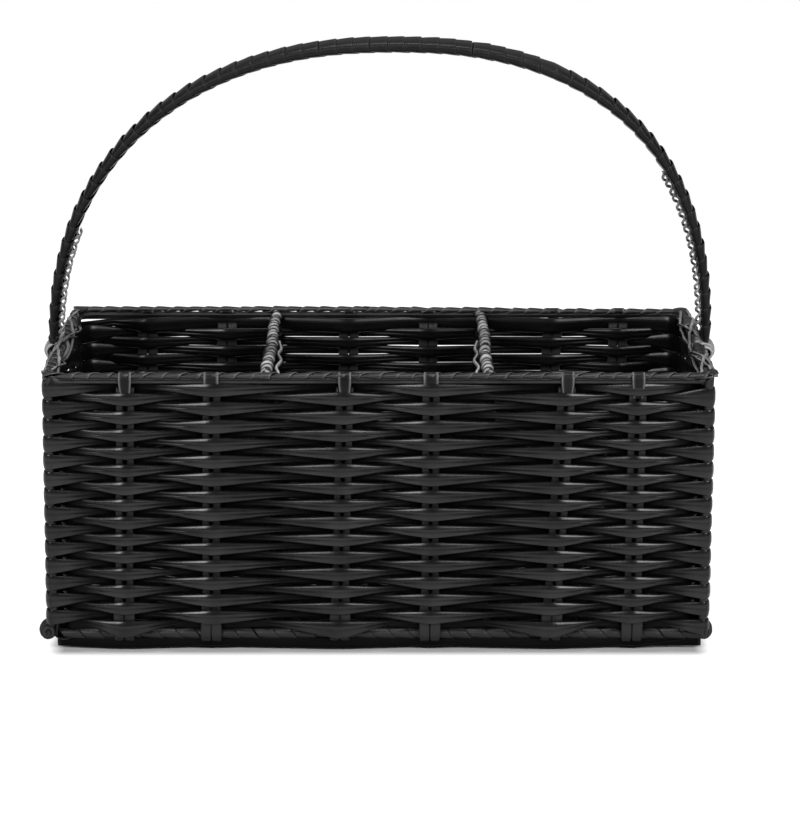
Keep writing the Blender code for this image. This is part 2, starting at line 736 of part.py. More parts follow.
def build():
    clear_scene()
    black = (0.022, 0.022, 0.024)
    strip = make_material("woven_strip", black, 0.34, 0.0)
    rod = make_material("stake_wrap", (0.030, 0.030, 0.032), 0.38, 0.0)
    rim_wrap = make_material("rim_wrap", (0.026, 0.026, 0.028), 0.36, 0.0)
    handle_wrap = make_material("handle_wrap", (0.024, 0.024, 0.026), 0.40, 0.0)
    wire = make_material("frame_wire", (0.030, 0.030, 0.032), 0.45, 0.8)
    build_rings(wire, rim_wrap)
    build_rim_wraps(rim_wrap)
    build_corner_posts(rod)
    build_cross_stakes(rod)
    build_end_stakes(rod)
    build_weaver_rows(strip)
    for name, share in zip(("left", "right"), DIVIDER_SHARES):
        x = BODY_LENGTH * share
        end_y = divider_end_y(x)
        build_divider_frame(name, x, end_y, rod)
        build_divider_weaver(name, x, end_y, strip)
    build_base(rod, strip)
    build_handle(wire, handle_wrap)


build()
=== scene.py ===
import math
import random

import bpy
import numpy as np
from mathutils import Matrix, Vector


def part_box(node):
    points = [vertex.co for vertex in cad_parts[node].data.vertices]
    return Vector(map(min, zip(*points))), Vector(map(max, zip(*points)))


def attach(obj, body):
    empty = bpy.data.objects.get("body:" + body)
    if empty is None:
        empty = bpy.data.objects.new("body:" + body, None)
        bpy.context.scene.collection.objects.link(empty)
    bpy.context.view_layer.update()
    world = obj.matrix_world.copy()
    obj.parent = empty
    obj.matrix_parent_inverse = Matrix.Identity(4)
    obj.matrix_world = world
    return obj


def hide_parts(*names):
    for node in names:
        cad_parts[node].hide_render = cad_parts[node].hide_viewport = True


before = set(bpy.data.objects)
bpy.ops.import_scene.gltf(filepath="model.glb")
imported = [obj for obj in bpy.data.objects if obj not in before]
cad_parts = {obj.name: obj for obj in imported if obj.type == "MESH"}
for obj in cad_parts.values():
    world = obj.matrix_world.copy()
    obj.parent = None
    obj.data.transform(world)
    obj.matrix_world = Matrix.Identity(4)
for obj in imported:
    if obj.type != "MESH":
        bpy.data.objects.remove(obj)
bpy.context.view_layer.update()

print("frame loaded:", len(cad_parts), "CAD nodes")

# Measures that several pieces share, in metres, as in the CAD part
caddy = dict(
    halfLength=0.15525,
    halfDepth=0.0680,
    depthTaper=0.0010,
    baseWireZ=0.00917,
    rimZ=0.13687,
    handleHalfSpan=0.16130,
    stakeTopX=(-0.12047, -0.07949, -0.01615, 0.02484, 0.08973, 0.12327),
    stakeFootX=(-0.12389, -0.08166, -0.01925, 0.02453, 0.08321, 0.12265),
    endStakeY=0.03563,
    endBow=0.35,
)
ends = ((-1, "left"), (1, "right"))
faces = ((-1, "front"), (1, "back"))
quarters = [(*end, *face) for end in ends for face in faces]
crossStakes = range(len(caddy["stakeTopX"]))
axisX = Vector((1, 0, 0))
axisY = Vector((0, 1, 0))
axisZ = Vector((0, 0, 1))
chance = random.Random(11)


# Wraps a socket, so that sums and products of sockets read as such
class Field:
    def __init__(self, graph, socket):
        self.graph = graph
        self.socket = socket

    def maths(self, operation, *others):
        return self.graph.maths(operation, self, *others)

    def clamped(self, low, high):
        return self.maths("MAXIMUM", low).maths("MINIMUM", high)

    def __add__(self, other):
        return self.maths("ADD", other)

    def __sub__(self, other):
        return self.maths("SUBTRACT", other)

    def __rsub__(self, other):
        return self.graph.maths("SUBTRACT", other, self)

    def __mul__(self, other):
        return self.maths("MULTIPLY", other)

    def __truediv__(self, other):
        return self.maths("DIVIDE", other)

    def __rtruediv__(self, other):
        return self.graph.maths("DIVIDE", other, self)

    def __pow__(self, other):
        return self.maths("POWER", other)

    def __abs__(self):
        return self.maths("ABSOLUTE")

    __radd__ = __add__
    __rmul__ = __mul__


class Graph:
    def __init__(self, tree):
        self.tree = tree
        tree.nodes.clear()

    def plug(self, socket, value):
        if isinstance(value, Field):
            self.tree.links.new(value.socket, socket)
        else:
            socket.default_value = value

    def node(self, kind, settings=None, values=(), out=0):
        made = self.tree.nodes.new(kind)
        for key, setting in (settings or {}).items():
            setattr(made, key, setting)
        pairs = values.items() if isinstance(values, dict) else enumerate(values)
        for key, value in pairs:
            self.plug(made.inputs[key], value)
        return Field(self, made.outputs[out]) if made.outputs else made

    def maths(self, operation, *values):
        return self.node("ShaderNodeMath", {"operation": operation}, values)

    def vector(self, operation, *values, out=0):
        return self.node("ShaderNodeVectorMath", {"operation": operation}, values, out)

    def scaled(self, vector, factor):
        return self.node("ShaderNodeVectorMath", {"operation": "SCALE"}, {0: vector, 3: factor})

    def part(self, vector, axis):
        return self.node("ShaderNodeSeparateXYZ", None, {"Vector": vector}, axis)

    def named(self, name, kind="FLOAT"):
        return self.node("GeometryNodeInputNamedAttribute", {"data_type": kind}, {"Name": name})

    def namedWay(self, name):
        return self.named(name, "FLOAT_VECTOR")

    def stored(self, geometry, name, value, kind="FLOAT"):
        settings = {"data_type": kind, "domain": "POINT"}
        values = {"Geometry": geometry, "Name": name, "Value": value}
        return self.node("GeometryNodeStoreNamedAttribute", settings, values)

    def storedWay(self, geometry, name, value):
        return self.stored(geometry, name, value, "FLOAT_VECTOR")

    def attribute(self, name):
        return self.node("ShaderNodeAttribute", {"attribute_name": name}, out="Fac")

    def noise(self, place, scale, detail):
        return self.node("ShaderNodeTexNoise", None, {"Vector": place, "Scale": scale, "Detail": detail})

    def mixed(self, amount, deep, pale):
        values = {0: amount, 6: (*deep, 1), 7: (*pale, 1)}
        return self.node("ShaderNodeMix", {"data_type": "RGBA"}, values, 2)


def newTree(name, inputs):
    tree = bpy.data.node_groups.new(name, "GeometryNodeTree")
    tree.interface.new_socket("Geometry", in_out="INPUT", socket_type="NodeSocketGeometry")
    for label, (kind, value) in inputs.items():
        item = tree.interface.new_socket(label, in_out="INPUT", socket_type="NodeSocket" + kind)
        if value is not None:
            item.default_value = value
    tree.interface.new_socket("Geometry", in_out="OUTPUT", socket_type="NodeSocketGeometry")
    graph = Graph(tree)
    source = tree.nodes.new("NodeGroupInput")
    fields = {socket.name: Field(graph, socket) for socket in source.outputs if socket.name}
    return graph, fields


def newMaterial(name):
    material = bpy.data.materials.new(name)
    material.use_nodes = True
    return material, Graph(material.node_tree)


def shaded(material, graph, values):
    shader = graph.node("ShaderNodeBsdfPrincipled", None, values)
    graph.node("ShaderNodeOutputMaterial", None, {"Surface": shader})
    return material


def signedPower(field, exponent):
    return field.maths("SIGN") * abs(field) ** exponent


# From 1 at nought down to nothing on both sides
def bell(field):
    return (field * field * -1).maths("EXPONENT")


# A section is swept along a curve whose points carry strandPoint, wideWay and thinWay.
def sweepSection(graph, curve, fields, halfWide, halfThin, lift, groove):
    points = fields["Section Points"]
    circle = graph.node("GeometryNodeCurvePrimitiveCircle", {"mode": "RADIUS"}, {"Resolution": points})
    angle = graph.node("GeometryNodeInputIndex") / points * (2 * math.pi)
    circle = graph.stored(circle, "sectionAngle", angle)
    sweep = {"Curve": curve, "Profile Curve": circle, "Fill Caps": True}
    swept = graph.node("GeometryNodeCurveToMesh", None, sweep)
    angle = graph.named("sectionAngle")
    across = signedPower(angle.maths("COSINE"), fields["Squareness"])
    proud = signedPower(angle.maths("SINE"), fields["Squareness"])
    trough = 1 - groove * bell(across / fields["Groove Width"])
    wide = graph.scaled(graph.namedWay("wideWay"), halfWide * across)
    thin = graph.scaled(graph.namedWay("thinWay"), halfThin * proud * trough + lift * across)
    place = graph.vector("ADD", graph.namedWay("strandPoint"), graph.vector("ADD", wide, thin))
    moved = graph.node("GeometryNodeSetPosition", None, {"Geometry": swept, "Position": place})
    moved = graph.stored(moved, "acrossStrip", across)
    smooth = graph.node("GeometryNodeSetShadeSmooth", None, {0: moved})
    solid = graph.node("GeometryNodeRealizeInstances", None, {0: smooth})
    painting = {"Geometry": solid, "Material": fields["Material"]}
    graph.node("NodeGroupOutput", None, [graph.node("GeometryNodeSetMaterial", None, painting)])


sectionInputs = {
    "Section Points": ("Int", 16),
    "Squareness": ("Float", 0.6),
    "Groove": ("Float", 0.3),
    "Groove Width": ("Float", 0.34),
    "Material": ("Material", None),
}


def squaredTo(graph, vector, tangent):
    along = graph.vector("DOT_PRODUCT", vector, tangent, out="Value")
    return graph.vector("NORMALIZE", graph.vector("SUBTRACT", vector, graph.scaled(tangent, along)))


# Keeps how far along the strip a point is, and its place
def marked(graph, curve):
    curve = graph.stored(curve, "alongStrip", graph.node("GeometryNodeSplineParameter", out="Length"))
    return graph.storedWay(curve, "strandPoint", graph.node("GeometryNodeInputPosition"))


# A laid strip is pressed flat, with a shallower groove, as it grows wider than this
pressing = dict(fromHalf=0.0020, over=0.0014, shallower=0.7)


# A flat strip laid along paths. Its half width and half thickness come with the path's points.
def makeStripTree():
    graph, fields = newTree("flatStrip", {"Step": ("Float", 0.0026), **sectionInputs})
    curve = graph.node("GeometryNodeMeshToCurve", None, {0: fields["Geometry"]})
    spacing = {"Curve": curve, "Length": fields["Step"]}
    curve = graph.node("GeometryNodeResampleCurve", {"mode": "LENGTH"}, spacing)
    tangent = graph.node("GeometryNodeInputTangent")
    curve = graph.storedWay(curve, "wideWay", squaredTo(graph, graph.namedWay("wideWay"), tangent))
    thinWay = graph.vector("CROSS_PRODUCT", tangent, graph.namedWay("wideWay"))
    curve = marked(graph, graph.storedWay(curve, "thinWay", thinWay))
    halfWide = graph.named("halfWide")
    pressed = ((halfWide - pressing["fromHalf"]) / pressing["over"]).clamped(0.0, 1.0)
    curve = graph.stored(curve, "pressedFlat", pressed)
    groove = fields["Groove"] * (1 - graph.named("pressedFlat") * pressing["shallower"])
    sweepSection(graph, curve, fields, halfWide, graph.named("halfThin"), 0.0, groove)
    return graph.tree


# How a wound strip sways: its pace in a turn, and its effect on place, edge and width. A straight
# one goes round square, and steps to the next turn in the middle of one broad face.
swaying = dict(pace=0.9, drift=1.2, lift=2.5, narrower=0.5, straightReach=0.9, straightPower=5.0)


# A strip wound in turns round a core. Each turn's raised edge lies over the next turn.
def makeWindingTree():
    inputs = {
        "Turns": ("Int", 30),
        "Steps in a Turn": ("Int", 18),
        "Core Half Width": ("Float", 0.0023),
        "Core Half Thickness": ("Float", 0.0023),
        "Core Power": ("Float", 2.0),
        "Strip Half Width": ("Float", 0.0045),
        "Strip Half Thickness": ("Float", 0.0003),
        "Edge Lift": ("Float", 0.0003),
        "Less Lift at Thin Sides": ("Float", 0.0),
        "Start Angle": ("Float", 0.0),
        "Wobble": ("Float", 0.2),
        "Straightness": ("Float", 0.0),
        "Seed": ("Float", 0.0),
        **sectionInputs,
        "Groove": ("Float", 0.0),
    }
    graph, fields = newTree("woundStrip", inputs)
    curve = graph.node("GeometryNodeMeshToCurve", None, {0: fields["Geometry"]})
    steps = fields["Steps in a Turn"]
    spacing = {"Curve": curve, "Count": fields["Turns"] * steps + 1}
    curve = graph.node("GeometryNodeResampleCurve", {"mode": "COUNT"}, spacing)
    turn = graph.node("GeometryNodeInputIndex") / steps
    tangent = graph.node("GeometryNodeInputTangent")
    side = squaredTo(graph, graph.namedWay("wideWay"), tangent)
    curve = graph.stored(curve, "turnNumber", turn)
    curve = graph.storedWay(curve, "sideWay", side)
    curve = graph.storedWay(curve, "wideWay", tangent)
    turn = graph.named("turnNumber")
    side = graph.namedWay("sideWay")
    core = graph.namedWay("wideWay")
    other = graph.vector("CROSS_PRODUCT", core, side)
    angle = turn * (2 * math.pi) + fields["Start Angle"]
    cosine = angle.maths("COSINE")
    sine = angle.maths("SINE")
    share = 2 / fields["Core Power"]
    fullness = graph.named("fullness")
    sideReach = signedPower(cosine, share) * fields["Core Half Width"] * fullness
    otherReach = signedPower(sine, share) * fields["Core Half Thickness"] * fullness
    offset = graph.vector("ADD", graph.scaled(side, sideReach), graph.scaled(other, otherReach))
    sideSlope = signedPower(cosine, 2 - share) / fields["Core Half Width"]
    otherSlope = signedPower(sine, 2 - share) / fields["Core Half Thickness"]
    outward = graph.vector("ADD", graph.scaled(side, sideSlope), graph.scaled(other, otherSlope))
    curve = graph.storedWay(curve, "thinWay", graph.vector("NORMALIZE", outward))
    wobble = graph.node(
        "ShaderNodeTexNoise",
        {"noise_dimensions": "1D"},
        {"W": turn * swaying["pace"] + fields["Seed"], "Scale": 1.0, "Detail": 2.0},
    )
    curve = graph.stored(curve, "sway", (wobble - 0.5) * fields["Wobble"])
    sway = graph.named("sway")
    halfWide = fields["Strip Half Width"]
    part = turn + fields["Start Angle"] / (2 * math.pi) + 0.25
    part = part.maths("FRACT") * 2 - 1
    held = signedPower(part, swaying["straightPower"]) - part
    held = held * fields["Straightness"] * halfWide * swaying["straightReach"]
    place = graph.vector("ADD", graph.node("GeometryNodeInputPosition"), offset)
    place = graph.vector("ADD", place, graph.scaled(core, sway * halfWide * swaying["drift"] + held))
    curve = graph.node("GeometryNodeSetPosition", None, {"Geometry": curve, "Position": place})
    curve = graph.stored(marked(graph, curve), "thinSide", cosine * cosine)
    lift = fields["Edge Lift"] * graph.named("edgeUp") * (1 + sway * swaying["lift"])
    lift = lift * (1 - fields["Less Lift at Thin Sides"] * graph.named("thinSide"))
    halfWide = halfWide * (1 - abs(sway) * swaying["narrower"])
    sweepSection(graph, curve, fields, halfWide, fields["Strip Half Thickness"], lift, fields["Groove"])
    return graph.tree


stripTree = makeStripTree()
windingTree = makeWindingTree()
print("node trees made")

# Scales of the strip's patches, streaks and grain, and their shares of tone, roughness and height
surface = dict(
    patchScale=55.0, patchTone=0.55, patchRough=0.16,
    streakAlong=60, streakAcross=4.0, streakTone=0.35, streakRough=0.10, streakHigh=0.35,
    grainScale=900.0, grainRough=0.05, grainHigh=0.25,
    smoother=0.13, bump=0.5, bumpDistance=0.00012,
)
# The shine of the strip's coat: taken down in its groove as painted shade, less so where it is pressed flat,
# in patches
shineOf = dict(
    grooveAt=0.04, grooveWide=0.20, grooveShade=0.85, pressedBack=0.55, patches=1.6, least=0.2,
    roughness=0.21, ior=1.5,
    wallInset=0.0008, fade=0.0022, cornerLess=0.55, backShare=0.55, backRamp=20,
)


# How far a point lies outside the walls, from 0 inside to 1 on their outer faces, less at the corners'
# bends.
# It takes the coat off inside the walls as painted shade, and off the bends so that they show no glints.
# The inner face of the back wall keeps some of the shine.
def outsideWalls(graph, place):
    walls = (caddy["halfLength"], caddy["halfDepth"] - shineOf["wallInset"], 1.0)
    beyond = graph.vector("SUBTRACT", graph.vector("ABSOLUTE", place), walls)
    x = graph.part(beyond, "X")
    y = graph.part(beyond, "Y")
    near = x.maths("MINIMUM", y).maths("MAXIMUM", 0.0)
    far = (x.maths("MAXIMUM", y) - near * shineOf["cornerLess"]) / shineOf["fade"]
    behind = (graph.part(place, "Y") * shineOf["backRamp"]).clamped(0.0, shineOf["backShare"])
    return far.maths("MINIMUM", 1.0).maths("MAXIMUM", behind)


# Glossy black plastic strip: fine ribs along it, patches of sheen, and edges of another tone.
# With a shine, the outer faces get a coat, and the groove and the inside lose it as painted shade.
def stripFinish(
    name, deep, pale, gloss, ribs, ribDepth,
    edge=0.35, edgePower=8, contrast=1.0, level=0.45, shine=0.0, specular=0.22,
):
    material, graph = newMaterial(name)
    place = graph.node("ShaderNodeTexCoord", out="Object")
    across = graph.attribute("acrossStrip")
    along = graph.attribute("alongStrip")
    patch = graph.noise(place, surface["patchScale"], 3.0)
    grain = graph.noise(place, surface["grainScale"], 2.0)
    streakPlace = {"X": along * surface["streakAlong"], "Y": across * surface["streakAcross"]}
    streak = graph.noise(graph.node("ShaderNodeCombineXYZ", None, streakPlace), 1.0, 3.0)
    tone = (patch - 0.5) * surface["patchTone"] + (streak - 0.5) * surface["streakTone"]
    tone = tone * contrast + level + abs(across) ** edgePower * edge
    roughness = gloss + patch * surface["patchRough"] + streak * surface["streakRough"]
    roughness = roughness + grain * surface["grainRough"] - surface["smoother"]
    height = (across * ribs).maths("SINE") * ribDepth
    height = height + grain * surface["grainHigh"] + streak * surface["streakHigh"]
    relief = {"Height": height, "Strength": surface["bump"], "Distance": surface["bumpDistance"]}
    values = {
        "Base Color": graph.mixed(tone, deep, pale),
        "Roughness": roughness,
        "Normal": graph.node("ShaderNodeBump", None, relief),
        "Specular IOR Level": specular,
    }
    if shine:
        # painted shade: the coat is taken down in the groove and off the inside of the walls
        groove = bell((across + shineOf["grooveAt"]) / shineOf["grooveWide"])
        pressed = graph.attribute("pressedFlat") * shineOf["pressedBack"]
        sheenWithPaintedShade = 1 - groove * (shineOf["grooveShade"] - pressed)
        sheenWithPaintedShade = sheenWithPaintedShade * (patch * shineOf["patches"] + shineOf["least"]) * shine
        values["Coat Weight"] = sheenWithPaintedShade * outsideWalls(graph, place)
        values["Coat Roughness"] = shineOf["roughness"]
        values["Coat IOR"] = shineOf["ior"]
    return shaded(material, graph, values)


# Lacquered steel wire: almost hidden, so plain but still uneven
def wireFinish(name, deep, pale):
    material, graph = newMaterial(name)
    patch = graph.noise(graph.node("ShaderNodeTexCoord", out="Object"), 120.0, 4.0)
    values = {
        "Base Color": graph.mixed(patch, deep, pale),
        "Roughness": patch * 0.3 + 0.3,
        "Metallic": 0.6,
        "Normal": graph.node("ShaderNodeBump", None, {"Height": patch, "Strength": 0.3, "Distance": 0.0001}),
    }
    return shaded(material, graph, values)


# Each strip's darkest and palest tone, its gloss, its ribs and their depth
finishes = dict(
    weaver=stripFinish(
        "weaverBlack", (0.001, 0.001, 0.0012), (0.0042, 0.0042, 0.0046), 0.34, 26, 0.35,
        shine=0.52, specular=0.045,
    ),
    stake=stripFinish("stakeBlack", (0.006, 0.006, 0.0065), (0.022, 0.022, 0.023), 0.42, 14, 0.30),
    rim=stripFinish(
        "rimBlack", (0.005, 0.005, 0.0055), (0.085, 0.085, 0.088), 0.36, 22, 0.30,
        edge=1.3, contrast=1.3, level=0.14,
    ),
    tab=stripFinish(
        "tabBlack", (0.002, 0.002, 0.0025), (0.110, 0.110, 0.113), 0.40, 8, 0.20,
        edge=5.0, contrast=0.3, level=0.04, specular=0.10,
    ),
    handle=stripFinish(
        "handleBlack", (0.002, 0.002, 0.0025), (0.012, 0.012, 0.013), 0.36, 30, 0.45,
        edge=2.2, contrast=1.6, specular=0.12,
    ),
    # The strands along the end rims are black plastic: their pale middles are a painted highlight
    whip=stripFinish(
        "whipPaintedHighlight", (0.006, 0.006, 0.0065), (0.330, 0.330, 0.335), 0.36, 16, 0.30,
        edge=-0.9, edgePower=4, contrast=2.6, level=0.50,
    ),
    # The lacing and the dividers' ties are black plastic: their pale grey is a painted sheen
    lacing=stripFinish(
        "lacingPaintedSheen", (0.020, 0.020, 0.021), (0.360, 0.360, 0.365), 0.40, 6, 0.20,
        edge=0.6, contrast=2.4,
    ),
    # The dividers' wrap is black plastic: the pale middle of each turn is a painted sheen, and its edges
    # stay dark
    divider=stripFinish(
        "dividerPaintedSheen", (0.002, 0.002, 0.0025), (0.420, 0.420, 0.425), 0.40, 18, 0.40,
        edge=-2.6, edgePower=2, contrast=2.6, level=0.62,
    ),
    knot=stripFinish(
        "knotBlack", (0.008, 0.008, 0.0085), (0.045, 0.045, 0.046), 0.62, 14, 0.30,
        specular=0.12,
    ),
    wire=wireFinish("wireBlack", (0.012, 0.012, 0.012), (0.035, 0.035, 0.036)),
)
print("finishes made")


# A knot is a place, two sizes and the reach of its bend. The sizes are half width and half
# thickness for a laid strip, and fullness and lift of the edge for a wound one.
def knot(x, y, z, first=1.0, second=1.0, bend=0.006):
    return np.array([x, y, z, first, second, bend], float)


def rounded(knots, closed, steps=4):
    most, shortest = 0.48, 1e-6     # a bend's share of a span, and a span's length
    path = []
    last = len(knots) - 1
    for index, here in enumerate(knots):
        if not closed and index in (0, last):
            path.append(here)
            continue
        before = knots[index - 1]
        after = knots[(index + 1) % len(knots)]
        spanBefore = np.linalg.norm(before[:3] - here[:3])
        spanAfter = np.linalg.norm(after[:3] - here[:3])
        first = here + (before - here) * min(most, here[5] / max(spanBefore, shortest))
        second = here + (after - here) * min(most, here[5] / max(spanAfter, shortest))
        for step in range(steps + 1):
            share = step / steps
            path.append(first * (1 - share) ** 2 + here * (2 * share * (1 - share)) + second * share**2)
    return path


def signedVolume(mesh):
    mesh.calc_loop_triangles()
    corners = np.zeros(len(mesh.vertices) * 3)
    mesh.vertices.foreach_get("co", corners)
    corners = corners.reshape(-1, 3)
    tris = np.zeros(len(mesh.loop_triangles) * 3, dtype=np.int32)
    mesh.loop_triangles.foreach_get("vertices", tris)
    tris = tris.reshape(-1, 3)
    a, b, c = corners[tris[:, 0]], corners[tris[:, 1]], corners[tris[:, 2]]
    return float(np.einsum("ij,ij->", a, np.cross(b, c)))


# The words for the trees' inputs in the pieces' dictionaries. "core" is what is wound round.
inputNames = dict(
    step="Step", points="Section Points", squareness="Squareness", groove="Groove",
    grooveWidth="Groove Width", turns="Turns", steps="Steps in a Turn", coreWide="Core Half Width",
    coreThick="Core Half Thickness", corePower="Core Power", halfWide="Strip Half Width",
    halfThick="Strip Half Thickness", lift="Edge Lift", lessAtSides="Less Lift at Thin Sides",
    start="Start Angle", wobble="Wobble", straightness="Straightness", seed="Seed",
)


# Lays the paths down as edges with their attributes, and grows the strips on them. The way is the
# direction of a strip's width. What is wound has turns among its settings.
def grow(name, paths, way, settings, finish, slot, *nodes, closed=False):
    points, edges = [], []
    for path in paths:
        start = len(points)
        points += path
        edges += [(start + index, start + index + 1) for index in range(len(path) - 1)]
        if closed:
            edges.append((len(points) - 1, start))
    wound = "turns" in settings
    mesh = bpy.data.meshes.new(name)
    mesh.from_pydata([tuple(here[:3]) for here in points], edges, [])
    ways = mesh.attributes.new("wideWay", "FLOAT_VECTOR", "POINT")
    ways.data.foreach_set("vector", tuple(way) * len(points))
    for column, key in enumerate(("fullness", "edgeUp") if wound else ("halfWide", "halfThin")):
        values = [float(here[3 + column]) for here in points]
        mesh.attributes.new(key, "FLOAT", "POINT").data.foreach_set("value", values)
    piece = bpy.data.objects.new(name, mesh)
    bpy.context.scene.collection.objects.link(piece)
    modifier = piece.modifiers.new("grow", "NODES")
    modifier.node_group = windingTree if wound else stripTree
    given = {inputNames[key]: value for key, value in settings.items()}
    given["Material"] = finishes[finish]
    for item in modifier.node_group.interface.items_tree:
        if item.in_out == "INPUT" and item.name in given:
            modifier[item.identifier] = given[item.name]
    ready = piece.evaluated_get(bpy.context.evaluated_depsgraph_get())
    grown = bpy.data.meshes.new_from_object(ready)
    piece.modifiers.remove(modifier)
    piece.data = grown
    bpy.data.meshes.remove(mesh)
    grown.name = name
    kept = ("alongStrip", "acrossStrip", "pressedFlat", "position", "sharp_face", "material_index")
    for attribute in [item.name for item in grown.attributes]:
        if attribute not in kept and not attribute.startswith("."):
            grown.attributes.remove(grown.attributes[attribute])
    if signedVolume(grown) < 0:
        grown.flip_normals()
    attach(piece, "root")
    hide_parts(*nodes)


def levelOf(z):
    return (z - caddy["baseWireZ"]) / (caddy["rimZ"] - caddy["baseWireZ"])


def halfDepthAt(z):
    return caddy["halfDepth"] - caddy["depthTaper"] * (1 - levelOf(z))


def handleLegX(z):
    return caddy["halfLength"] + (caddy["handleHalfSpan"] - caddy["halfLength"]) * levelOf(z)


def endStakeX(z):
    return caddy["halfLength"] + caddy["endBow"] * (handleLegX(z) - caddy["halfLength"])


# The cross stakes lean a little between the base wire and the rim
def crossStakeX(index, z):
    top = caddy["stakeTopX"][index]
    foot = caddy["stakeFootX"][index]
    return foot + (top - foot) * min(max(levelOf(z), 0), 1)


def rowZ(row):
    low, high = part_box(f"weaver_row_{row + 1:02d}")
    return (low.z + high.z) / 2


rows = dict(
    count=28,
    strip=dict(step=0.0021, points=24, squareness=1.35, groove=0.60, grooveWidth=0.24),
    wallReach=0.0036,       # how far a strip's middle stands off the stakes' plane
    innerReach=0.0042,
    endReach=0.0045,
    handleReach=0.0026,
    handleHalf=0.0070,
    cornerNear=(0.0026, 0.0036),   # how far a corner's two knots stand out in x and y
    cornerFar=(0.0048, 0.0012),
    cornerSpread=0.0016,    # the left end is a little wider at its foot
    cornerInside=0.0032,
    cornerSizes=(0.0012, 0.0039, 0.00055), # reach of the bend, half width, half thickness
    stakeHalfWide=0.0036,   # pressed flat where it passes a stake
    stakeHalfThin=0.00120,
    bayHalfWide=0.00155,    # rounder in the middle of a bay
    bayHalfThin=0.00115,
    stakeWidths=(0.94, 1.05),
    bayWidths=(0.94, 1.06),
    firstRise=0.0009,       # the first rows are pushed up against the rim
    risenRows=4,
    firstFuller=1.25,
    pastFrontY=-0.06,       # what lies behind this is packed as the back and the ends are
    nearEndX=0.13,          # the bays beside the corners lie beyond this
    backFuller=1.42,        # the back and the ends are packed closer
    backStakeFuller=1.10,
    backOpenStake=0.87,
    backCornerFuller=1.25,
    openRows=9,             # above this row the back lets light through beside its stakes
    edgeBackFuller=1.75,    # the first row and the last two close the back wall
    backLastDrop=0.0013,
    slumpCorner=0.0040,     # the first row sags at the back's left corner, and its bay stands up
    slumpBayRise=0.0008,
    slumpBayY=0.06,
    slumpFuller=1.3,
    endFuller=1.36,
    endBayFuller=1.25,
    lastDrop=0.0008,
    lastDroop=0.0013,       # the last row hangs down over the feet of every other stake
    lastWider=1.22,
    sag=0.00025,
    stray=0.00018,
    bend=0.0034,
    cornerRise=0.0011,      # the second row meets the rim at the right corners
    cornerWider=1.2,
)


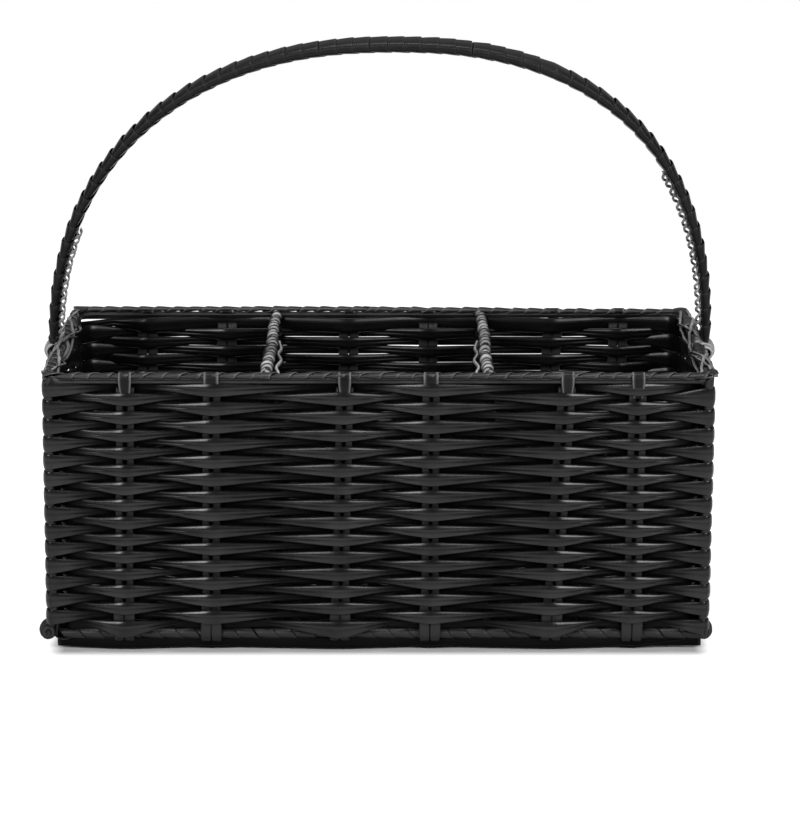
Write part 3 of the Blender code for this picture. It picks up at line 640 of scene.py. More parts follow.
def rowKnots(row):
    z = rowZ(row)
    length = caddy["halfLength"]
    depth = halfDepthAt(z)
    outside = -1 if row % 2 else 1
    last = row == rows["count"] - 1
    lifted = rows["firstRise"] * max(0, 1 - row / rows["risenRows"])
    dropped = rows["lastDrop"] if last else 0.0
    stops = []

    def stop(x, y, bayAfter=True, bend=rows["bend"], wide=rows["stakeHalfWide"], thin=rows["stakeHalfThin"]):
        rise = chance.uniform(-1, 1) * rows["stray"] - rows["sag"] * 0.5 + lifted - dropped
        wide *= chance.uniform(*rows["stakeWidths"])
        if y > rows["pastFrontY"]:
            closed = row > rows["openRows"] or row == 0 or abs(x) > rows["nearEndX"]
            wide *= rows["backStakeFuller"] if closed else rows["backOpenStake"]
        stops.append((knot(x, y, z + rise, wide, thin, bend), bayAfter))

    def corner(xSign, ySign, side):
        if side < 0:
            inner = rows["cornerInside"]
            fuller = rows["backCornerFuller"] if ySign > 0 else 1.0
            stop(xSign * (length - inner), ySign * (depth - inner), wide=rows["stakeHalfWide"] * fuller)
            return
        spread = rows["cornerSpread"] * (1 - levelOf(z)) if xSign < 0 else 0
        order = ("cornerNear", "cornerFar") if xSign * ySign < 0 else ("cornerFar", "cornerNear")
        for key, bayAfter in zip(order, (False, True)):
            x, y = rows[key]
            place = (xSign * (length + x + spread), ySign * (depth + y))
            stop(*place, bayAfter, *rows["cornerSizes"])
            if row == 0 and xSign < 0 < ySign:
                stops[-1][0][2] -= rows["slumpCorner"]
            if row == 1:
                stops[-1][0][2] += rows["cornerRise"]
                stops[-1][0][3] *= rows["cornerWider"]

    def end(xSign, side):
        pairX = xSign * (endStakeX(z) - side * rows["endReach"])
        handleX = xSign * (handleLegX(z) + side * rows["handleReach"])
        ys = (-caddy["endStakeY"], -rows["handleHalf"], rows["handleHalf"], caddy["endStakeY"])
        ordered = list(zip((pairX, handleX, handleX, pairX), ys))
        if xSign < 0:
            ordered.reverse()
        for index, (x, y) in enumerate(ordered):
            stop(x, y, index != 1, wide=rows["stakeHalfWide"] * rows["endFuller"])

    def wall(ySign, indices):
        for index in indices:
            side = outside if index % 2 else -outside
            reach = rows["wallReach"] if side > 0 else -rows["innerReach"]
            stop(crossStakeX(index, z), ySign * (depth + reach))
            if last and side > 0:
                stops[-1][0][2] -= rows["lastDroop"]
                stops[-1][0][3] *= rows["lastWider"]

    corner(-1, -1, outside)
    wall(-1, crossStakes)
    corner(1, -1, -outside)
    end(1, -outside)
    corner(1, 1, -outside)
    wall(1, reversed(crossStakes))
    corner(-1, 1, outside)
    end(-1, outside)
    knots = []
    for index, (here, bayAfter) in enumerate(stops):
        following = stops[(index + 1) % len(stops)][0]
        knots.append(here)
        if bayAfter:
            middle = (here + following) / 2
            middle[2] = z + rows["sag"] * 0.5 + lifted
            fuller = rows["backFuller"] if middle[1] > -depth + rows["cornerInside"] else 1.0
            fuller = max(fuller, 1 if row else rows["firstFuller"])
            if row == 0 and middle[0] < -rows["nearEndX"] and middle[1] > rows["slumpBayY"]:
                fuller = rows["slumpFuller"]
                middle[2] += rows["slumpBayRise"]
            elif row in (0, rows["count"] - 2, rows["count"] - 1) and middle[1] > 0:
                fuller *= rows["edgeBackFuller"]
                middle[2] -= rows["backLastDrop"] if last else 0
            elif abs(middle[0]) > rows["nearEndX"]:
                fuller *= rows["endBayFuller"]
            middle[3] = rows["bayHalfWide"] * chance.uniform(*rows["bayWidths"]) * fuller
            middle[4] = rows["bayHalfThin"]
            knots.append(middle)
    return knots


def makeRows():
    for row in range(rows["count"]):
        number = f"{row + 1:02d}"
        look = (rows["strip"], "weaver", "woven_strip", f"weaver_row_{number}")
        grow(f"weaverRow{number}", [rounded(rowKnots(row), True)], axisZ, *look, closed=True)


makeRows()
print("wall rows woven")

stakes = dict(
    spacing=0.00255,
    strip=dict(step=0.0030, points=14, squareness=0.7, groove=0.50),
    halfWide=0.00172,
    halfThin=0.00135,
    widths=(0.95, 1.06),
    footHalfWide=0.00262,
    footFrom=0.15,          # a stake is as wide as its foot below this share of its height
    footNarrower=0.2,
    backHalfWide=0.00245,
    topZ=0.1325,
    baseZ=0.0043,
    footClear=0.004,
    shares=(1, 0.8, 0.6, 0.4, 0.2, 0.08),
    bendRadius=0.00487,
    bendSteps=4,
    baseHalfDepth=0.06213,
    stray=0.00025,
    endFootZ=0.0125,
    endShares=(0, 0.25, 0.5, 0.75, 1),
    postShift=0.0019,
    postSpread=0.0011,
    # height and fullness
    postLevels=((0.0120, 1), (0.0700, 1), (0.1280, 1), (0.1334, 1.2), (0.1350, 0.9)),
    postWrap=dict(
        turns=15, steps=12, coreWide=0.00195, coreThick=0.00195, halfWide=0.0046, halfThick=0.00025,
        lift=0.0002, points=8,
    ),
)


def crossStakePath(index, shift):
    halfWide = stakes["halfWide"] * chance.uniform(*stakes["widths"])
    path = []
    for ySign in (-1, 1):
        part = []
        if ySign > 0:
            halfWide = stakes["backHalfWide"]
        for share in stakes["shares"]:
            z = stakes["topZ"] * share + stakes["baseZ"] * (1 - share) + stakes["footClear"] * (1 - share)
            sway = chance.uniform(-1, 1) * stakes["stray"]
            wide = halfWide if share > stakes["footFrom"] else stakes["footHalfWide"]
            x = crossStakeX(index, z) + shift + sway
            part.append(knot(x, ySign * halfDepthAt(z), z, wide, stakes["halfThin"]))
        for step in range(stakes["bendSteps"] + 1):
            share = step / stakes["bendSteps"]
            angle = math.pi / 2 * (1 - share)
            y = stakes["baseHalfDepth"] + stakes["bendRadius"] * math.sin(angle)
            z = caddy["baseWireZ"] - stakes["bendRadius"] * math.cos(angle)
            wide = stakes["footHalfWide"] * (1 - stakes["footNarrower"] * share)
            x = caddy["stakeFootX"][index] + shift
            part.append(knot(x, ySign * y, z, wide, stakes["halfThin"]))
        path += part if ySign < 0 else part[::-1]
    return path


def endStakePath(xSign, y):
    path = []
    for share in stakes["endShares"]:
        z = stakes["endFootZ"] + (stakes["topZ"] - stakes["endFootZ"]) * share
        sway = chance.uniform(-1, 1) * stakes["stray"]
        path.append(knot(xSign * endStakeX(z), y + sway, z, stakes["halfWide"], stakes["halfThin"]))
    return path


def postPath(xSign, ySign):
    path = []
    for z, full in stakes["postLevels"]:
        spread = stakes["postSpread"] * (1 - levelOf(z)) if xSign < 0 else 0
        x = xSign * (caddy["halfLength"] + stakes["postShift"] + spread)
        path.append(knot(x, ySign * (halfDepthAt(z) + stakes["postShift"] / 2), z, full))
    return path


def makeStakes():
    shifts = (-stakes["spacing"], stakes["spacing"])
    look = (stakes["strip"], "stake", "stake_wrap")
    for index in crossStakes:
        paths = [crossStakePath(index, shift) for shift in shifts]
        grow(f"crossStake{index + 1}", paths, axisX, *look, f"cross_stake_{index + 1}")
    for xSign, side, ySign, face in quarters:
        paths = [endStakePath(xSign, ySign * caddy["endStakeY"] + shift) for shift in shifts]
        grow(f"endStake{side.title()}{face.title()}", paths, axisY, *look, f"end_stake_{side}_{face}")
        winding = {**stakes["postWrap"], "seed": 3.0 * xSign + ySign}
        name, node = f"cornerPost{face.title()}{side.title()}", f"corner_post_{face}_{side}"
        grow(name, [postPath(xSign, ySign)], axisX, winding, "stake", "stake_wrap", node)


makeStakes()
print("stakes wrapped")

# Strips looped over the rim. A tab goes on down in front of the stakes, a buckle does not.
loops = dict(
    strip=dict(step=0.0008, points=12, squareness=0.5, groove=0.0),
    radius=0.00300,
    halfThin=0.00034,
    steps=12,
    tabAngles=(150, 0),
    tabHalf=0.0031,
    # out, down and half width
    tabTail=((0.0030, 0.0022, 0.0030), (0.0024, 0.0052, 0.0026), (0.0012, 0.0092, 0.0022)),
    buckles=(1, 3),
    buckleAngles=(150, -60),
    buckleHalf=0.0036,
    rimHalfLength=0.15625,
    rimHalfDepth=0.0690,
)


def loopPath(middle, outward, buckle=False):
    first, last = loops["buckleAngles"] if buckle else loops["tabAngles"]
    path = []
    for step in range(loops["steps"] + 1):
        angle = math.radians(first + (last - first) * step / loops["steps"])
        out = loops["radius"] * math.cos(angle)
        place = middle + outward * out + axisZ * (loops["radius"] * math.sin(angle))
        path.append(knot(*place, loops["buckleHalf"] if buckle else loops["tabHalf"], loops["halfThin"]))
    for out, drop, wide in () if buckle else loops["tabTail"]:
        path.append(knot(*(middle + outward * out - axisZ * drop), wide, loops["halfThin"]))
    return path


def makeLoops():
    for index, x in enumerate(caddy["stakeTopX"]):
        paths = []
        for ySign in (-1, 1):
            middle = Vector((x, ySign * loops["rimHalfDepth"], caddy["rimZ"]))
            paths.append(loopPath(middle, axisY * ySign, index in loops["buckles"]))
        name, node = f"rimLoops{index + 1}", f"cross_stake_{index + 1}"
        grow(name, paths, axisX, loops["strip"], "tab", "rim_wrap", node)
    for xSign, side, ySign, face in quarters:
        middle = Vector((xSign * loops["rimHalfLength"], ySign * caddy["endStakeY"], caddy["rimZ"]))
        name, node = f"rimLoop{side.title()}{face.title()}", f"end_stake_{side}_{face}"
        grow(name, [loopPath(middle, axisX * xSign)], axisY, loops["strip"], "rim", "rim_wrap", node)


makeLoops()
print("rim loops laid")

# Strands laid along the end rims, lashings round the handle's feet, knots at the bottom corners.
# A strand has its start angle and its turns. "full" is a winding's fullness from end to end.
bindings = dict(
    strands=dict(
        x=0.1570, z=0.1360, tall=0.0043, wide=0.0037, halfWide=0.0009, halfThin=0.0005, stray=0.0004,
        halfLength=0.0628, steps=48,
        turns=((0.3, 0.8), (1.7, -1.1), (2.9, 1.0), (4.1, -0.8), (5.4, 1.2)),
        strip=dict(step=0.0030, points=8, squareness=0.8, groove=0.0),
    ),
    lashing=dict(
        x=0.1602, shift=0.0, z=0.1354, full=(0.7, 1, 1, 0.7),
        wrap=dict(
            turns=5, steps=28, coreWide=0.0046, coreThick=0.0053, halfWide=0.0021, halfThick=0.0008,
            lift=0.0001, wobble=0.9, points=10,
        ),
    ),
    lashingY=(-0.0100, 0.0100),
    cornerKnot=dict(
        x=0.1594, shift=0.0016, z=0.0100, full=(0.02, 0.8, 1, 0.8, 0.02),
        wrap=dict(
            turns=6, steps=28, coreWide=0.0039, coreThick=0.0034, halfWide=0.0020, halfThick=0.0011,
            lift=0.0001, wobble=0.9, points=10,
        ),
    ),
    cornerKnotY=(0.0560, 0.0690),
)


def strandPath(sign, start, turns):
    given = bindings["strands"]
    path = []
    for step in range(given["steps"] + 1):
        share = step / given["steps"]
        angle = start + turns * 2 * math.pi * share
        x = given["x"] + given["wide"] * math.cos(angle) + chance.uniform(-1, 1) * given["stray"]
        z = given["z"] + given["tall"] * math.sin(angle) + chance.uniform(-1, 1) * given["stray"]
        y = given["halfLength"] * (2 * share - 1)
        path.append(knot(sign * x, y, z, given["halfWide"], given["halfThin"]))
    return path


def bind(name, given, sign, ys, finish, slot, node):
    path = []
    for step, full in enumerate(given["full"]):
        share = step / (len(given["full"]) - 1)
        x = sign * given["x"] - given["shift"]
        path.append(knot(x, ys[0] + (ys[1] - ys[0]) * share, given["z"], full))
    winding = {**given["wrap"], "seed": sign * 47 + ys[0] * 100}
    grow(name, [path], axisZ, winding, finish, slot, node)


def makeBindings():
    strands = bindings["strands"]
    for sign, side in ends:
        title = side.title()
        paths = [strandPath(sign, start + sign, turns) for start, turns in strands["turns"]]
        look = (strands["strip"], "whip", "rim_wrap", f"rim_wrap_{side}")
        grow(f"rimStrands{title}", paths, axisX, *look)
        lashing = (bindings["lashing"], sign, bindings["lashingY"])
        bind(f"handleLashing{title}", *lashing, "lacing", "handle_wrap", "handle_wrap")
        for ySign, face in faces:
            ys = [ySign * y for y in bindings["cornerKnotY"]]
            name, node = f"cornerKnot{face.title()}{title}", f"corner_post_{face}_{side}"
            bind(name, bindings["cornerKnot"], sign, ys, "knot", "stake_wrap", node)


makeBindings()
print("bindings wound")

dividers = dict(
    # side, x of the middle and y of the end rods
    places=(("left", -0.05372, 0.06002), ("right", 0.05216, 0.06037)),
    barEnd=0.0661,
    barUp=0.0004,
    barWrap=dict(
        turns=21, steps=24, coreWide=0.0019, coreThick=0.00180, halfWide=0.0027, halfThick=0.00045,
        lift=0.0009, wobble=0.7, points=10,
    ),
    barFull=(1.08, 0.16),   # at the front, and how much less at the back
    barSway=0.0004,
    swayPace=9,
    swayShift=40,
    bulges=8,
    bulge=0.13,
    bulgeSteps=6,
    tie=dict(step=0.0016, points=8, squareness=0.9, groove=0.0),
    tieDown=0.0012,
    tieSizes=(0.0009, 0.0007, 0.004),   # half width, half thickness, reach of the bend
    tieY=(0.012, -0.004, -0.014, -0.028, -0.042, -0.054, -0.066),
    tieOut=(0.0034, 0.0052, 0.0036, 0.0062, 0.0036, 0.0058, 0.0040),
    uprightWrap=dict(
        turns=16, steps=10, coreWide=0.00105, coreThick=0.00105, halfWide=0.0042, halfThick=0.0002,
        lift=0.00015, points=8, seed=5.0,
    ),
    uprightDown=0.003,
    footZ=0.0131,
    strip=dict(step=0.0030, points=12, squareness=0.6, groove=0.35),
    stripReach=0.0042,
    turnOut=0.0030,
    turnSizes=(0.0019, 0.0009, 0.003),
    middleSizes=(0.0023, 0.0009, 0.012),
)
rings = dict(
    rimHalfLength=0.15735,
    rimHalfDepth=0.0690,
    rimCorner=0.0055,
    rimLift=0.0016,
    rimWrap=dict(
        turns=105, steps=32, coreWide=0.00085, coreThick=-0.00225, halfWide=0.0051, halfThick=0.00030,
        lift=0.00042, wobble=0.75, points=10, seed=7.0,
    ),
    rimStep=0.002,
    overlapSteps=3,
    cornerFullness=1.35,
    endFullness=0.85,
    lumpHalf=0.005,         # the wrap is fuller over the dividers
    lumpFullness=1.25,
    backRise=0.0012,        # the back rim stands higher on the left
    riseFrom=0.9,
    risePace=8,
    under=dict(step=0.003, points=10, squareness=0.9, groove=0.0),
    underDrop=0.0013,       # a second, thinner strand runs below the wrapped wire
    underOut=0.0010,
    underTall=0.0006,
    underDeep=0.0011,
    underCorner=0.0014,
    underLift=0.6,          # how much of the back's rise and the corners' height lifts it
    underTaller=2.3,
    baseHalfLength=0.15720,
    baseHalfDepth=0.06320,
    baseZ=0.0077,
    baseCorner=0.0040,
    baseStart=18,           # the ring's knot at which its wrap starts
    baseOverlap=0.2,
    baseWrap=dict(
        turns=93, steps=14, coreWide=0.00220, coreThick=0.00220, halfWide=0.0052, halfThick=0.00026,
        lift=0.00022, wobble=0.3, points=8, seed=21.0,
    ),
    cornerSteps=8,
)


def ringPath(halfLength, halfDepth, radius, z):
    path = []
    middle = rings["cornerSteps"] // 2
    for xSign, ySign, start in ((1, -1, -90), (1, 1, 0), (-1, 1, 90), (-1, -1, 180)):
        for step in range(rings["cornerSteps"] + 1):
            angle = math.radians(start + 90 * step / rings["cornerSteps"])
            x = xSign * (halfLength - radius) + radius * math.cos(angle)
            y = ySign * (halfDepth - radius) + radius * math.sin(angle)
            path.append(knot(x, y, z))
    turn = len(path) - middle - 1
    return path[turn:] + path[:turn]


def backRise(here):
    share = min(max(rings["riseFrom"] - here[0] * rings["risePace"], 0), 1)
    return rings["backRise"] * (share * max(here[1], 0) / rings["rimHalfDepth"])


def makeRims():
    sizes = (rings["rimHalfLength"], rings["rimHalfDepth"], rings["rimCorner"])
    endFrom = rings["rimHalfLength"] - rings["rimCorner"]
    whole = ringPath(*sizes, caddy["rimZ"] + rings["rimLift"])
    under = ringPath(*(size + rings["underOut"] for size in sizes), caddy["rimZ"] - rings["underDrop"])
    for here in under:
        rise = backRise(here) * rings["underLift"]
        corner = rings["underCorner"] if abs(here[0]) > endFrom and here[1] < 0 else 0
        here[2] = here[2] + rise + corner * rings["underLift"]
        here[3:5] = (rings["underTall"] + rise * rings["underTaller"] + corner, rings["underDeep"])
    nodes = [f"rim_wrap_{side}" for side in ("front", "right", "back", "left")]
    grow("rimUnderStrand", [under], axisZ, rings["under"], "rim", "rim_wrap", *nodes, closed=True)
    path = []
    for index, here in enumerate(whole):
        following = whole[(index + 1) % len(whole)]
        span = np.linalg.norm(following[:3] - here[:3])
        steps = max(1, round(span / rings["rimStep"]))
        for step in range(steps):
            path.append(here + (following - here) * step / steps)
    for here in path:
        atEnd = abs(here[0]) > endFrom
        atCorner = atEnd and abs(here[1]) > rings["rimHalfDepth"] - rings["rimCorner"]
        here[3] = rings["cornerFullness"] if atCorner else rings["endFullness"] if atEnd else 1.0
        here[2] += backRise(here)
        for _, x, _ in dividers["places"]:
            if not atEnd and abs(here[0] - x) < rings["lumpHalf"]:
                here[3] = rings["lumpFullness"]
    start = max(range(len(path)), key=lambda index: path[index][1] - abs(path[index][0]))
    path = path[start:] + path[:start]
    path += [here.copy() for here in path[: rings["overlapSteps"]]]
    grow("rimWrap", [path], axisZ, rings["rimWrap"], "rim", "rim_wrap", *nodes)
    base = ringPath(rings["baseHalfLength"], rings["baseHalfDepth"], rings["baseCorner"], rings["baseZ"])
    base = base[rings["baseStart"]:] + base[:rings["baseStart"]]
    beyond = rings["baseOverlap"]
    base += [base[0].copy(), base[1] * beyond + base[0] * (1 - beyond)]
    grow("baseRingWrap", [base], axisZ, rings["baseWrap"], "stake", "rim_wrap", "base_wire")


makeRims()
print("rim and base ring wrapped")

handle = dict(
    rise=0.1496,
    lean=0.0078,
    roundness=2.3,
    leanPower=1.5,
    fineSteps=1200,
    steps=160,
    wrap=dict(
        turns=61, steps=26, coreWide=0.0078, coreThick=0.00205, corePower=3.0, halfThick=0.00027,
        lift=0.00072, lessAtSides=0.75, wobble=0.34, points=10, start=1.2, straightness=1.0, seed=40.0,
    ),
    overlap=0.56,           # the strip's half width as a share of a turn's pitch
    meeting=0.66,           # the two windings meet here, and each raised edge looks up to it
    topFuller=0.46,
    topFlatter=0.6,         # share of the edges' lift that is gone at the top
    topPower=4,
    lacing=dict(
        steps=16, coreWide=0.0018, coreThick=0.0014, halfWide=0.0010, halfThick=0.00045,
        lift=0.0, wobble=1.2, points=8,
    ),
    lacingPoints=900,
    lacingStep=3,
    lacingSpans=((0.01, 0.125), (0.815, 0.985)),
    lacingStarts=((1, 0.0), (2, 2.6)),  # each strand's number and start angle
    lacingOff=0.0036,
    lacingPitch=0.0088,
    lacingY=-0.0035,
    lacingSeed=17.0,
)


def archPoint(angle):
    power = 2 / handle["roundness"]
    across = math.copysign(abs(math.cos(angle)) ** power, math.cos(angle))
    rise = math.sin(angle) ** power
    x = -caddy["handleHalfSpan"] * across + handle["lean"] * rise ** handle["leanPower"]
    return knot(x, 0, caddy["rimZ"] + handle["rise"] * rise)


def archPath(count):
    fine = [archPoint(math.pi * step / handle["fineSteps"]) for step in range(handle["fineSteps"])]
    fine.append(knot(caddy["handleHalfSpan"], 0, caddy["rimZ"]))
    fine = np.array(fine)
    run = np.concatenate(([0], np.cumsum(np.linalg.norm(np.diff(fine[:, :3], axis=0), axis=1))))
    wanted = np.linspace(0, run[-1], count)
    path = [np.array([np.interp(want, run, column) for column in fine.T]) for want in wanted]
    return path, run[-1]


def makeHandle():
    path, length = archPath(handle["steps"])
    for index, here in enumerate(path):
        rise = (here[2] - caddy["rimZ"]) / handle["rise"]
        here[3] = 1 + handle["topFuller"] * rise
        lifted = 1 - handle["topFlatter"] * rise ** handle["topPower"]
        here[4] = lifted if index < len(path) * handle["meeting"] else -lifted
    halfWide = length / handle["wrap"]["turns"] * handle["overlap"]
    winding = {**handle["wrap"], "halfWide": halfWide}
    grow("handleWrap", [path], axisY, winding, "handle", "handle_wrap", "handle_wrap")


# Two thin strands, twisted together, along the inner side of each leg
def makeLacing():
    count = handle["lacingPoints"]
    path, length = archPath(count)
    for side, (first, last) in zip(("Left", "Right"), handle["lacingSpans"]):
        strand = []
        for index in range(int(first * count), int(last * count), handle["lacingStep"]):
            here = path[index]
            tangent = path[index + 1][:3] - path[index - 1][:3]
            tangent = tangent / np.linalg.norm(tangent)
            inward = np.array([tangent[2], 0, -tangent[0]])
            place = here[:3] + inward * handle["lacingOff"]
            strand.append(knot(place[0], handle["lacingY"], place[2]))
        turns = round((last - first) * length / handle["lacingPitch"])
        for number, start in handle["lacingStarts"]:
            seed = handle["lacingSeed"] + first * 10 + start
            winding = {**handle["lacing"], "turns": turns, "start": start, "seed": seed}
            name = f"handleLacing{side}{number}"
            grow(name, [strand], axisY, winding, "lacing", "handle_wrap", "handle_wrap")


makeHandle()
makeLacing()
print("handle wrapped")


def dividerBarPath(x):
    path = []
    steps = dividers["bulges"] * dividers["bulgeSteps"]
    frontFull, backLess = dividers["barFull"]
    for step in range(steps + 1):
        share = step / steps
        full = 1 + dividers["bulge"] * math.cos(2 * math.pi * share * dividers["bulges"])
        full *= frontFull - backLess * share
        y = dividers["barEnd"] * (2 * share - 1)
        sway = dividers["barSway"] * math.sin(dividers["swayPace"] * share + x * dividers["swayShift"])
        path.append(knot(x + sway, y, caddy["rimZ"] + dividers["barUp"], full))
    return path


def dividerStripPath(x, endY):
    path = []
    turn = 1
    out = dividers["turnOut"]
    for row in range(rows["count"] - 1):
        z = rowZ(row)
        way = 1 if row % 2 == 0 else -1
        path.append(knot(x + turn * out, -way * (endY + out), z, *dividers["turnSizes"]))
        path.append(knot(x - turn * dividers["stripReach"], 0, z, *dividers["middleSizes"]))
        path.append(knot(x + turn * out, way * (endY + out), z, *dividers["turnSizes"]))
        turn = -turn
    return rounded(path, False)


def dividerTiePath(x):
    inward = 1 if x < 0 else -1
    z = caddy["rimZ"] - dividers["tieDown"]
    turns = zip(dividers["tieY"], dividers["tieOut"])
    return rounded([knot(x + inward * out, y, z, *dividers["tieSizes"]) for y, out in turns], False)


def makeDividers():
    top = caddy["rimZ"] - dividers["uprightDown"]
    for side, x, endY in dividers["places"]:
        title = side.title()
        frameLook = ("stake_wrap", f"divider_{side}_frame")
        stripLook = ("woven_strip", f"divider_{side}_weaver")
        winding = {**dividers["barWrap"], "seed": 60.0 + x * 100}
        grow(f"dividerBar{title}", [dividerBarPath(x)], axisZ, winding, "divider", *frameLook)
        grow(f"dividerTie{title}", [dividerTiePath(x)], axisZ, dividers["tie"], "lacing", *stripLook)
        paths = [[knot(x, y, dividers["footZ"]), knot(x, y, top)] for y in (-endY, 0, endY)]
        grow(f"dividerUprights{title}", paths, axisX, dividers["uprightWrap"], "stake", *frameLook)
        paths = [dividerStripPath(x, endY)]
        grow(f"dividerWeaver{title}", paths, axisZ, dividers["strip"], "weaver", *stripLook)


makeDividers()
print("dividers woven")

base = dict(
    strip=dict(step=0.0032, points=12, squareness=0.6, groove=0.35),
    rowPitch=0.0052,
    halfSpan=0.1555,
    inner=0.0640,
    ringFrom=0.0560,        # nearer the ring than this, a strip passes close under it
    underRing=0.0012,
    rodZ=0.0043,
    reach=0.0031,
    beside=0.0028,
    halfWide=0.0026,
    halfThin=0.0009,
    endHalf=0.0022,
    endUp=0.0012,
    edge=dict(step=0.0026, points=12, squareness=1.1, groove=0.5),
    edgeSpan=0.1568,
    edgeY=0.0640,
    edgeEndY=0.0620,
    edgeEndHalf=0.0028,
    edgeSway=0.0013,
    edgeZ=0.0037,
    edgeHalf=0.0032,
    edgeNarrower=0.8,
)


def baseRowPath(row, count):
    y = -base["inner"] + (row + 0.5) * 2 * base["inner"] / count
    side = 1 if row % 2 else -1
    endSizes = (base["rodZ"] + base["endUp"], base["endHalf"], base["halfThin"])
    knots = [knot(-base["halfSpan"], y, *endSizes)]
    for index, x in enumerate(caddy["stakeFootX"]):
        up = side if index % 2 else -side
        reach = base["underRing"] if up > 0 and abs(y) > base["ringFrom"] else base["reach"]
        for shift in (-base["beside"], base["beside"]):
            knots.append(knot(x + shift, y, base["rodZ"] + up * reach, base["halfWide"], base["halfThin"]))
    knots.append(knot(base["halfSpan"], y, *endSizes))
    return rounded(knots, False)


def baseEdgePath(ySign):
    endSizes = (ySign * base["edgeEndY"], base["edgeZ"], base["edgeEndHalf"], base["halfThin"])
    knots = [knot(-base["edgeSpan"], *endSizes)]
    for index, x in enumerate(caddy["stakeFootX"]):
        side = -1 if index % 2 else 1
        y = ySign * (base["edgeY"] + side * base["edgeSway"])
        half = base["edgeHalf"] * (1 if side > 0 else base["edgeNarrower"])
        knots.append(knot(x, y, base["edgeZ"], half, base["halfThin"]))
    knots.append(knot(base["edgeSpan"], *endSizes))
    return rounded(knots, False)


def makeBase():
    look = ("weaver", "woven_strip", "base_weaver")
    for ySign, face in faces:
        grow(f"baseEdge{face.title()}", [baseEdgePath(ySign)], axisZ, base["edge"], *look)
    count = int(2 * base["inner"] / base["rowPitch"])
    grow("baseWeaver", [baseRowPath(row, count) for row in range(count)], axisY, base["strip"], *look)


makeBase()
print("base woven")

for name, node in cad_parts.items():
    if not node.hide_render:
        kind = "wire" if "wire" in name else "stake"
        node.data.materials.clear()
        node.data.materials.append(finishes[kind])

# The floor glows for the camera and in reflections, outside the patch of shade under the caddy, a painted
# shadow where the glow is left out
stage = dict(
    floorSides=64,
    floorZ=-0.0002,
    paper=(0.50, 0.50, 0.50, 1),
    shadeHalf=(0.153, 0.0668, 0.0),
    shadeFrom=0.0005,
    shadeTo=0.0085,
    glow=0.75,
    horizon=(-0.04, 0.02),
    below=1.0,
    above=0.22,
)


def makeFloor():
    mesh = bpy.data.meshes.new("floor")
    steps = stage["floorSides"]
    angles = [step * 2 * math.pi / steps for step in range(steps)]
    mesh.from_pydata([(math.cos(angle), math.sin(angle), 0) for angle in angles], [], [range(steps)])
    floor = bpy.data.objects.new("floor", mesh)
    bpy.context.scene.collection.objects.link(floor)
    floor.location.z = stage["floorZ"]
    material, graph = newMaterial("floorWhite")
    camera = graph.node("ShaderNodeLightPath", out="Is Camera Ray")
    glossy = graph.node("ShaderNodeLightPath", out="Is Glossy Ray")
    through = graph.node("ShaderNodeLightPath", out="Is Transmission Ray")
    shown = (camera + glossy + through).maths("MINIMUM", 1.0)
    place = graph.vector("ABSOLUTE", graph.node("ShaderNodeTexCoord", out="Object"))
    # painted shadow: no glow within the patch under the caddy, rising from shadeFrom to shadeTo beyond it
    beyond = graph.vector("SUBTRACT", place, stage["shadeHalf"])
    beyond = graph.vector("LENGTH", graph.vector("MAXIMUM", beyond, (0, 0, 0)), out="Value")
    ramp = {0: beyond, 1: stage["shadeFrom"], 2: stage["shadeTo"], 3: 0.0, 4: stage["glow"]}
    level = graph.node("ShaderNodeMapRange", None, ramp)
    paper = graph.node("ShaderNodeBsdfDiffuse", None, {"Color": stage["paper"]})
    glow = graph.node("ShaderNodeEmission", None, {"Color": (1, 1, 1, 1), "Strength": shown * level})
    both = graph.node("ShaderNodeAddShader", None, [paper, glow])
    graph.node("ShaderNodeOutputMaterial", None, {"Surface": both})
    floor.data.materials.append(material)


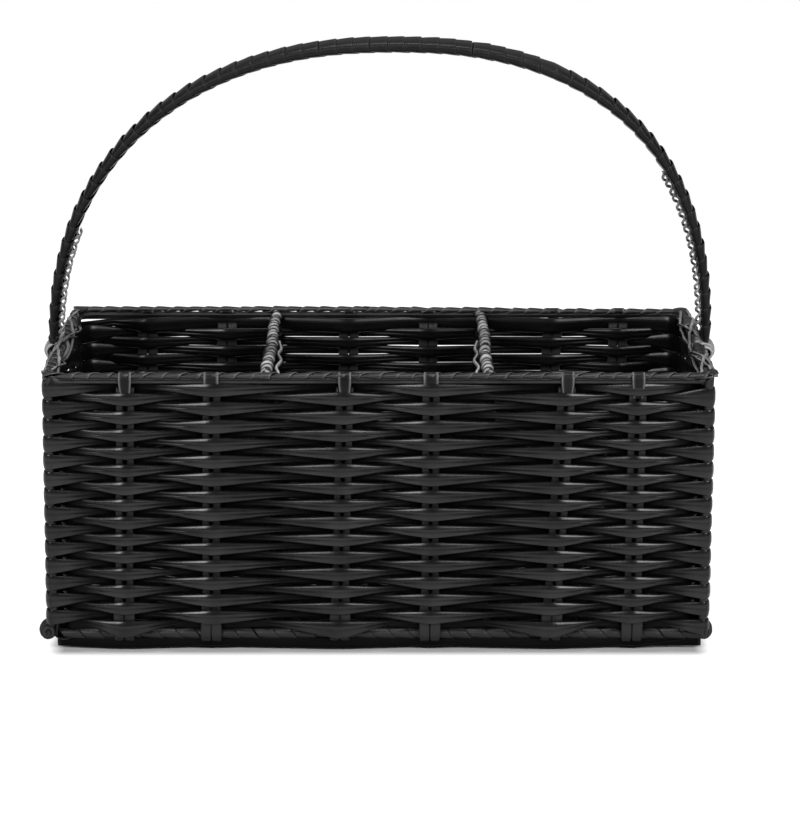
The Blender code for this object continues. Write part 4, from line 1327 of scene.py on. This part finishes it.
# Pale below the horizon, as if the floor went on, and a dim room above it
def makeWorld():
    world = bpy.data.worlds.new("studio")
    bpy.context.scene.world = world
    world.use_nodes = True
    graph = Graph(world.node_tree)
    height = graph.part(graph.node("ShaderNodeTexCoord", out="Generated"), "Z")
    low, high = stage["horizon"]
    ramp = {0: height, 1: low, 2: high, 3: stage["below"], 4: stage["above"]}
    level = graph.node("ShaderNodeMapRange", None, ramp)
    back = graph.node("ShaderNodeBackground", None, {"Color": (1, 1, 1, 1), "Strength": level})
    graph.node("ShaderNodeOutputWorld", None, {"Surface": back})


def addToScene(name, data, place):
    item = bpy.data.objects.new(name, data)
    bpy.context.scene.collection.objects.link(item)
    item.location = place
    return item


# Soft boxes: place, what they are turned to, size and power
lamps = dict(
    overhead=((0.0, 0.10, 1.6), (0, 0, 0.1), (0.6, 0.4), 16.5),
    leftBox=((-0.72, -1.27, 0.95), (0, 0, 0.08), (0.40, 0.75), 14.5),
    rightBox=((0.82, -1.22, 0.95), (0, 0, 0.08), (0.60, 0.75), 17),
)


def makeLamps():
    for name, (place, target, size, power) in lamps.items():
        lamp = bpy.data.lights.new(name, "AREA")
        lamp.shape = "RECTANGLE"
        lamp.size, lamp.size_y = size
        lamp.energy = power
        way = Vector(target) - Vector(place)
        addToScene(name, lamp, place).rotation_euler = way.to_track_quat("-Z", "Y").to_euler()


# The camera that the photo's corners give. The height and the focal length are in pixels.
photo = dict(
    height=829,
    focal=3035.6,
    sensor=36.0,
    place=(0.00982, -1.46667, 0.48678),
    down=14.727,
    turned=-0.011,
    clip=(0.05, 20),
)


def makeCamera():
    camera = bpy.data.cameras.new("camera")
    camera.sensor_width = photo["sensor"]
    camera.lens = photo["focal"] / photo["height"] * photo["sensor"]
    camera.clip_start, camera.clip_end = photo["clip"]
    item = addToScene("camera", camera, photo["place"])
    item.rotation_euler = (math.radians(90 - photo["down"]), 0, math.radians(photo["turned"]))
    bpy.context.scene.camera = item


makeFloor()
makeWorld()
makeLamps()
makeCamera()
bpy.context.scene.view_settings.view_transform = "Standard"
print("stage lit")
